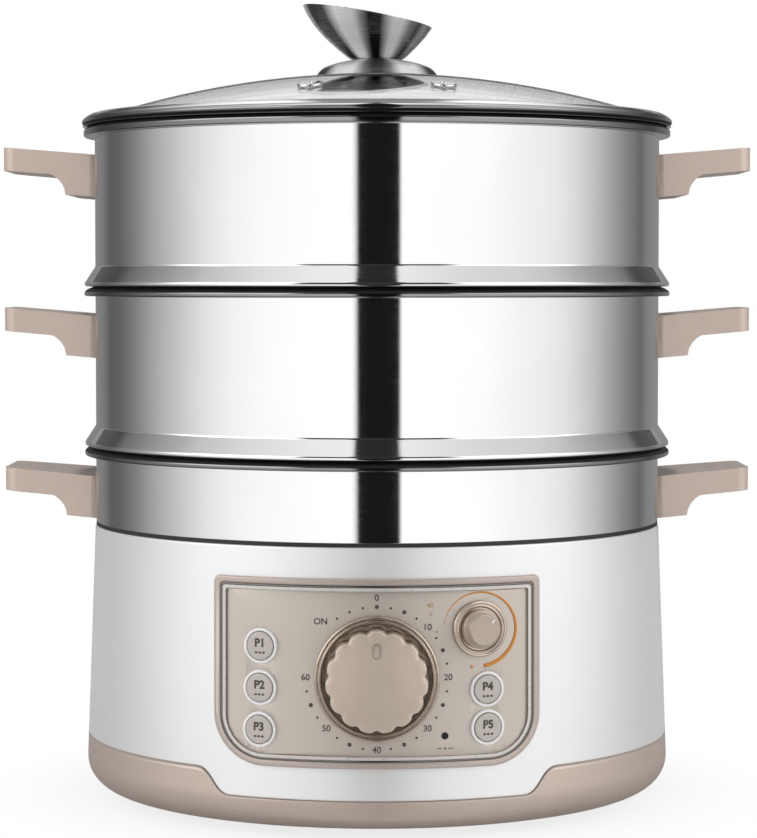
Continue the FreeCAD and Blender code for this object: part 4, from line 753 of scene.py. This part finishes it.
def heatKnob():
    r, front = heat["knob"], heat["front"]
    base = heat["bed"] + heat["lift"]
    step = base + heat["flangeHeight"]
    bm = spunSection([
        (0, base), (heat["flange"], base, 0.3), (heat["flange"], step, 0.9), (r + 0.2, step, 0.4), (r, front, 0.9),
        (r - 1.6, front - 0.15, 0.4), (0, front - 0.2)], 96, closed=False)
    return onPanel(bm, heat["turn"], heat["up"])


def heatPointer():
    bm = bmesh.new()
    bmesh.ops.create_cube(bm, size=1)
    bmesh.ops.scale(bm, vec=heat["markSize"], verts=bm.verts[:])
    roundOff(bm, bm.edges[:], 0.15, 3, "EDGES")
    bmesh.ops.translate(bm, vec=(0, heat["knob"] - 1.9, heat["front"] - 0.06), verts=bm.verts[:])
    bmesh.ops.rotate(bm, cent=(0, 0, 0), matrix=Matrix.Rotation(math.radians(-heat["mark"]), 3, "Z"),
                     verts=bm.verts[:])
    return onPanel(bm, heat["turn"], heat["up"])


addPiece("heatRing", controlRing(heat, 96), "base", "dialTaupe", "panel_taupe", ["heat_knob_ring"])
addPiece("heatKnob", heatKnob(), "heat_knob", "heatFace", "knob_taupe", ["heat_knob"])
addPiece("heatPointer", heatPointer(), "heat_knob", "ringWhite", "knob_taupe")
print("heat knob made")


# preset buttons

button = {"radius": 6.5, "ring": 8.2, "gap": 0.3, "ringRise": 0.9, "ringBack": -1.5, "rise": 1.3, "stemIn": 2.0,
          "stemBack": -7.6, "flangeBack": -5.6, "flangeFront": -4.4, "flangeOut": 1.2, "plateGap": 0.9,
          "places": ((-21.6, 57.5), (-21.6, 38.45), (-21.6, 19.4), (20.3, 37.9), (20.3, 20.6))}


def panelPlate():
    # the plate is open where the buttons pass through it
    bm = panelOutline(panel["frame"] + panel["trim"] + seatGap)
    bmesh.ops.delete(bm, geom=bm.faces[:], context="FACES_KEEP_BOUNDARY")
    for turn, up in button["places"]:
        radius = button["radius"] + button["plateGap"]
        hole = bmesh.ops.create_circle(bm, cap_ends=False, radius=radius, segments=48)
        sideways = math.radians(turn)
        place = (Matrix.Translation((math.sin(sideways) * panelRadius(up), 0, body["split"] + up))
                 @ Matrix.Scale(math.cos(sideways), 4, (1, 0, 0)) @ standUp)
        bmesh.ops.transform(bm, matrix=place, verts=hole["verts"])
    bmesh.ops.triangle_fill(bm, use_beauty=True, edges=bm.edges[:])
    thicken(bm, (0, -panel["rise"] + seatGap, 0))
    return wrapped(bm)


def buttonRings():
    inner, outer = button["radius"] + button["gap"], button["ring"]
    face, back = button["ringRise"], button["ringBack"]
    corners = [(inner, back), (outer, back), (outer, face, 0.5), (inner, face, 0.3)]
    return joinMeshes([onPanel(spunSection(corners, 72), turn, up) for turn, up in button["places"]])


def buttonCap(turn, up):
    face, r = button["rise"], button["radius"]
    stem, flange = r - button["stemIn"], r + button["flangeOut"]
    bm = spunSection([(0, button["stemBack"]), (stem, button["stemBack"]), (stem, button["flangeBack"]),
                      (flange, button["flangeBack"]), (flange, button["flangeFront"]), (r, button["flangeFront"]),
                      (r, face, 0.6), (r - 2.5, face + 0.02), (0, face + 0.05)], 72, closed=False)
    return onPanel(bm, turn, up)


addPiece("panelPlate", panelPlate(), "base", "panelSilver", "panel_taupe", ["panel_plate"])
addPiece("buttonRings", buttonRings(), "base", "ringWhite", "button_ring", ["button_rings"])
for number, (turn, up) in enumerate(button["places"], 1):
    node = "preset_button_%d" % number
    addPiece("presetButton%d" % number, buttonCap(turn, up), node, "buttonSilver", "button_face", [node])
print("buttons made")


# printed marks

def wordMesh(words, size, thick):
    curve = bpy.data.curves.new("word", "FONT")
    curve.body = words
    curve.size = size
    curve.align_x = curve.align_y = "CENTER"
    curve.offset = thick
    shown = bpy.data.objects.new("word", curve)
    bpy.context.collection.objects.link(shown)
    bpy.context.view_layer.update()
    flat = bpy.data.meshes.new_from_object(shown)
    bm = bmesh.new()
    bm.from_mesh(flat)
    bpy.data.objects.remove(shown)
    bpy.data.curves.remove(curve)
    bpy.data.meshes.remove(flat)
    bmesh.ops.remove_doubles(bm, verts=bm.verts[:], dist=1e-5)
    return bm


def dotMesh(radius):
    bm = bmesh.new()
    bmesh.ops.create_circle(bm, cap_ends=True, radius=radius, segments=24)
    return bm


def barMesh(width, height):
    bm = bmesh.new()
    bmesh.ops.create_grid(bm, x_segments=1, y_segments=1, size=0.5)
    bmesh.ops.scale(bm, vec=(width, height, 1), verts=bm.verts[:])
    return bm


inkHeight = 0.06


def printed(bm, x, z):
    # a flat mark drawn in x and y, printed on the curved plate
    bmesh.ops.rotate(bm, cent=(0, 0, 0), matrix=standUp.to_3x3(), verts=bm.verts[:])
    bmesh.ops.translate(bm, vec=(x, 0, z), verts=bm.verts[:])
    thicken(bm, (0, -inkHeight, 0))
    return onHousing(bm, panel["rise"])


def timerScale():
    scale = {"radius": 32.4, "big": 0.95, "small": 0.55, "figure": 4.0, "bold": 0.06, "step": 11.25,
             "figures": {45: "10", 90: "20", 135: "30", 180: "40", 225: "50", 270: "60"},
             "words": (("ON", 0.07, 315, 36.0), ("0", 0.08, 0, 36.4))}
    centre = body["split"] + timer["up"]

    def ringPlace(clock, radius=scale["radius"]):
        a = math.radians(clock)
        return radius * math.sin(a), centre + radius * math.cos(a)

    marks = [printed(wordMesh(words, scale["figure"], scale["bold"]), *ringPlace(clock))
             for clock, words in scale["figures"].items()]
    marks += [printed(wordMesh(words, scale["figure"], bold), *ringPlace(clock, radius))
              for words, bold, clock, radius in scale["words"]]
    for i in range(int(360 / scale["step"])):
        clock = i * scale["step"]
        if clock in scale["figures"] or 270 < clock <= 320:
            continue
        big = clock % 45 == 22.5 and clock < 315 or clock == 0
        marks.append(printed(dotMesh(scale["big"] if big else scale["small"]), *ringPlace(clock)))
    return joinMeshes(marks)


def heatCentre():
    return panelRadius(heat["up"]) * math.sin(math.radians(heat["turn"])), body["split"] + heat["up"]


def heatArc():
    # band that widens from a hair line to full width, round the heat knob
    arc = {"first": -80.0, "last": 173.0, "radius": 16.2, "thin": 0.25, "wide": 1.7, "growth": 1.15, "steps": 60}
    bm = bmesh.new()
    a = bm.verts.new((0, arc["radius"], 0))
    b = bm.verts.new((0, arc["radius"] + 1, 0))
    edge = bm.edges.new((a, b))
    bmesh.ops.rotate(bm, cent=(0, 0, 0), matrix=Matrix.Rotation(-math.radians(arc["first"]), 3, "Z"), verts=[a, b])
    bmesh.ops.spin(bm, geom=[a, b, edge], cent=(0, 0, 0), axis=(0, 0, -1), dvec=(0, 0, 0),
                   angle=math.radians(arc["last"] - arc["first"]), steps=arc["steps"], use_merge=False)
    for v in bm.verts:
        clock = (math.degrees(math.atan2(v.co.x, v.co.y)) - arc["first"]) % 360
        share = clock / (arc["last"] - arc["first"])
        width = arc["thin"] + (arc["wide"] - arc["thin"]) * min(share * arc["growth"], 1)
        isOuter = math.hypot(v.co.x, v.co.y) > arc["radius"] + 0.5
        setRadius(v, arc["radius"] + (width if isOuter else 0), 0)
    return printed(bm, *heatCentre())


def heatWords(*words):
    # each word has its size, boldness and place from the heat knob's centre
    x0, z0 = heatCentre()
    return joinMeshes([printed(wordMesh(word, size, bold), x0 + x, z0 + z) for word, size, bold, x, z in words])


def lampMark():
    lamp = {"x": 30.9, "up": 11.8, "aside": 2.6, "bar": (2.2, 0.35), "dot": 0.5}
    x, z = lamp["x"], body["split"] + lamp["up"]
    return joinMeshes([printed(barMesh(*lamp["bar"]), x - lamp["aside"], z), printed(dotMesh(lamp["dot"]), x, z),
                       printed(barMesh(*lamp["bar"]), x + lamp["aside"], z)])


def buttonMarks(number, turn, up):
    # a plain figure over three short bars, on the button's face
    mark = {"figure": 5.2, "bold": 0.2, "figureUp": 1.3, "bar": (1.2, 0.9), "pitch": 1.8, "barUp": -3.0}
    upper = wordMesh("P%d" % number, mark["figure"], mark["bold"])
    bmesh.ops.translate(upper, vec=(0, mark["figureUp"], 0), verts=upper.verts[:])
    bars = [barMesh(*mark["bar"]) for _ in range(3)]
    for place, bar in enumerate(bars):
        bmesh.ops.translate(bar, vec=((place - 1) * mark["pitch"], mark["barUp"], 0), verts=bar.verts[:])
    bm = joinMeshes([upper, *bars])
    bmesh.ops.translate(bm, vec=(0, 0, button["rise"] + 0.02), verts=bm.verts[:])
    thicken(bm, (0, 0, inkHeight))
    return onPanel(faceOutwards(bm), turn, up)


addPiece("timerScale", timerScale(), "base", "printDark")
addPiece("heatArc", heatArc(), "base", "printOrange")
addPiece("heatFigures", heatWords(("40", 2.9, 0.03, -22.5, 11.2), ("C", 2.6, 0.03, -22.0, 7.4),
                                  ("-", 4.0, 0.08, -19.4, -0.5)), "base", "printBrown")
addPiece("heatPlus", heatWords(("+", 4.2, 0.08, -3.4, -17.4)), "base", "printOrange")
addPiece("lampMark", lampMark(), "base", "printDark")
for number, (turn, up) in enumerate(button["places"], 1):
    addPiece("buttonMarks%d" % number, buttonMarks(number, turn, up), "preset_button_%d" % number,
             "printDark")
print("marks printed")


# stage, light and camera

def floorFinish():
    # pale, with the object's shadow near it, and fading to plain white further out
    material, tree, shader = newMaterial("paleFloor")
    setInputs(tree, shader, {"Base Color": (0.93, 0.93, 0.93, 1), "Roughness": 0.9, "Specular IOR Level": 0.1})
    white = addNode(tree, "Emission")
    path = addNode(tree, "LightPath")
    place = addNode(tree, "TexCoord")
    far = addNode(tree, "VectorMath", {0: place.outputs["Object"]}, operation="LENGTH")
    fade = addNode(tree, "MapRange", {"Value": far.outputs["Value"], "From Min": 0.12, "From Max": 0.21,
                                      "To Min": 0.8}, interpolation_type="SMOOTHSTEP")
    both = addNode(tree, "Math", {0: fade.outputs["Result"], 1: path.outputs["Is Camera Ray"]},
                   operation="MULTIPLY")
    mix = addNode(tree, "MixShader", {"Fac": both.outputs["Value"], 1: shader.outputs["BSDF"],
                                      2: white.outputs["Emission"]})
    setInputs(tree, tree.nodes["Material Output"], {"Surface": mix.outputs["Shader"]})
    return material


def paleFloor():
    bm = bmesh.new()
    bmesh.ops.create_circle(bm, cap_ends=True, radius=1.1, segments=96)
    mesh = bpy.data.meshes.new("paleFloor")
    bm.to_mesh(mesh)
    bm.free()
    mesh.materials.append(floorFinish())
    floor = bpy.data.objects.new("paleFloor", mesh)
    bpy.context.collection.objects.link(floor)
    floor.visible_glossy = False


def surroundings():
    # Tones that polished metal shows. low is level with it, band just above, flare overhead in front, rim and
    # glass overhead behind. The first three are (degrees from the front, tone), the others (height, tone).
    surround = {
        "low": [(-180, 0.23), (-148, 0.18), (-137, 0.1), (-128, 0.11), (-121, 0.15), (-114, 0.2), (-108, 0.265),
                (-98, 0.39), (-88, 0.51), (-79, 0.63), (-71, 0.74), (-60, 0.85), (-46, 0.93), (-30, 0.97),
                (-8.6, 1.0), (-8.0, 0.008), (8.8, 0.008), (9.4, 1.0), (42, 0.96), (58, 0.87), (70, 0.82),
                (78, 0.765), (86, 0.67), (96, 0.52), (106, 0.37), (118, 0.23), (133, 0.125), (143, 0.2),
                (156, 0.22), (180, 0.23)],
        "flare": [(-150, 0.04), (-136, 0.1), (-124, 0.19), (-101, 0.41), (-95, 0.5), (-72, 0.68), (-38, 0.8),
                  (-14.5, 0.82), (-13.2, 0.02), (13.2, 0.02), (14.5, 0.8), (40, 0.72), (80, 0.62), (95, 0.55),
                  (108, 0.4), (122, 0.26), (136, 0.12), (150, 0.06)],
        "rim": [(0.2, 0.1), (0.38, 0.06), (0.52, 0.12), (0.6, 0.22), (0.7, 0.75), (0.78, 0.98), (0.9, 0.98),
                (0.935, 0.45), (0.955, 0.12), (1.0, 0.1)],
        "glass": [(0.1, 0.5), (0.26, 0.3), (0.36, 0.5), (0.44, 1.0), (0.51, 1.0), (0.56, 0.1), (0.8, 0.2),
                  (0.93, 0.3), (0.96, 0.12), (1.0, 0.1)],
        "band": [(-180, 0.06), (-160, 0.22), (-145, 0.3), (-128, 0.12), (-108, 0.1), (-95, 0.7), (-80, 1.8),
                 (-38, 1.8), (-30, 0.04), (28, 0.03), (38, 1.4), (80, 1.5), (95, 0.7), (108, 0.1), (128, 0.12),
                 (145, 0.3), (160, 0.22), (180, 0.06)],
        "highFront": (0.2, 0.5), "sides": (110, 88), "back": (130, 138), "behind": (164, 170),
        "lowEdge": (0.12, 0.16), "ground": (-0.15, -0.21), "groundShare": 0.5, "floor": 0.05,
        "strength": 1.2, "soft": 0.38,
    }
    world = bpy.data.worlds.new("surroundings")
    bpy.context.scene.world = world
    world.use_nodes = True
    tree = world.node_tree
    tree.nodes.clear()

    def mathNode(operation, *values):
        return addNode(tree, "Math", dict(enumerate(values)), operation=operation).outputs["Value"]

    def ranged(source, span):
        return addNode(tree, "MapRange", {"Value": source, "From Min": span[0], "From Max": span[1]},
                       interpolation_type="SMOOTHSTEP").outputs["Result"]

    def toned(source, stops, low, high):
        share = mathNode("DIVIDE", mathNode("SUBTRACT", source, low), high - low)
        return toneRamp(tree, share, [((place - low) / (high - low), tone) for place, tone in stops])

    def blended(share, first, second):
        first, second = [(tone, tone, tone, 1) if isinstance(tone, float) else tone for tone in (first, second)]
        mix = addNode(tree, "Mix", {"Factor": share, "A": first, "B": second}, data_type="RGBA")
        return mix.outputs["Result"]

    x, y, z = addNode(tree, "SeparateXYZ", {"Vector": addNode(tree, "TexCoord").outputs["Generated"]}).outputs
    around = mathNode("DEGREES", mathNode("ARCTAN2", x, mathNode("MULTIPLY", y, -1)))
    turned = mathNode("ABSOLUTE", around)
    low, band, flare = [toned(around, surround[name], -180, 180) for name in ("low", "band", "flare")]
    behind = blended(ranged(turned, surround["behind"]), toned(z, surround["rim"], 0, 1),
                     toned(z, surround["glass"], 0, 1))
    high = blended(ranged(turned, surround["back"]), flare, behind)
    sides = mathNode("MULTIPLY", surround["highFront"][1], ranged(turned, surround["sides"]))
    top = mathNode("GREATER_THAN", z, mathNode("ADD", surround["highFront"][0], sides))
    tones = blended(ranged(z, surround["lowEdge"]), low, band)
    tones = blended(top, tones, high)
    ground = blended(surround["groundShare"], low, surround["floor"])
    tones = blended(ranged(z, surround["ground"]), tones, ground)
    mirrored = addNode(tree, "Background", {"Color": tones, "Strength": surround["strength"]})
    soft = addNode(tree, "Background", {"Color": (1, 1, 1, 1), "Strength": surround["soft"]})
    white = addNode(tree, "Background", {"Color": (1, 1, 1, 1)})
    path = addNode(tree, "LightPath")
    shiny = addNode(tree, "MixShader", {"Fac": path.outputs["Is Glossy Ray"], 1: soft.outputs["Background"],
                                        2: mirrored.outputs["Background"]})
    clear = mathNode("MAXIMUM", path.outputs["Is Camera Ray"], path.outputs["Is Transmission Ray"])
    seen = addNode(tree, "MixShader", {"Fac": clear, 1: shiny.outputs["Shader"], 2: white.outputs["Background"]})
    addNode(tree, "OutputWorld", {"Surface": seen.outputs["Shader"]})


def softbox(name, place, width, height, power):
    target = Vector((0, 0, 0.15))
    light = bpy.data.lights.new(name, "AREA")
    light.shape = "RECTANGLE"
    light.size = width
    light.size_y = height
    light.energy = power
    lamp = bpy.data.objects.new(name, light)
    bpy.context.collection.objects.link(lamp)
    lamp.location = place
    lamp.rotation_euler = (target - Vector(place)).to_track_quat("-Z", "Y").to_euler()
    lamp.visible_glossy = False
    lamp.visible_transmission = False


def viewCamera():
    data = bpy.data.cameras.new("viewCamera")
    data.lens = view["lens"]
    camera = bpy.data.objects.new("viewCamera", data)
    bpy.context.collection.objects.link(camera)
    camera.location = (view["side"], -view["distance"], view["height"])
    camera.rotation_euler = (math.radians(90 - view["tilt"]), 0, 0)
    bpy.context.scene.camera = camera


paleFloor()
surroundings()
softbox("leftSoftbox", (-1.5, -0.4, 0.7), 0.9, 1.2, 14)
softbox("rightSoftbox", (1.5, -0.4, 0.7), 0.9, 1.2, 14)
softbox("topSoftbox", (0, -0.3, 1.7), 1.2, 1.2, 4)
viewCamera()
bpy.context.scene.view_settings.view_transform = "Standard"
print("stage set")
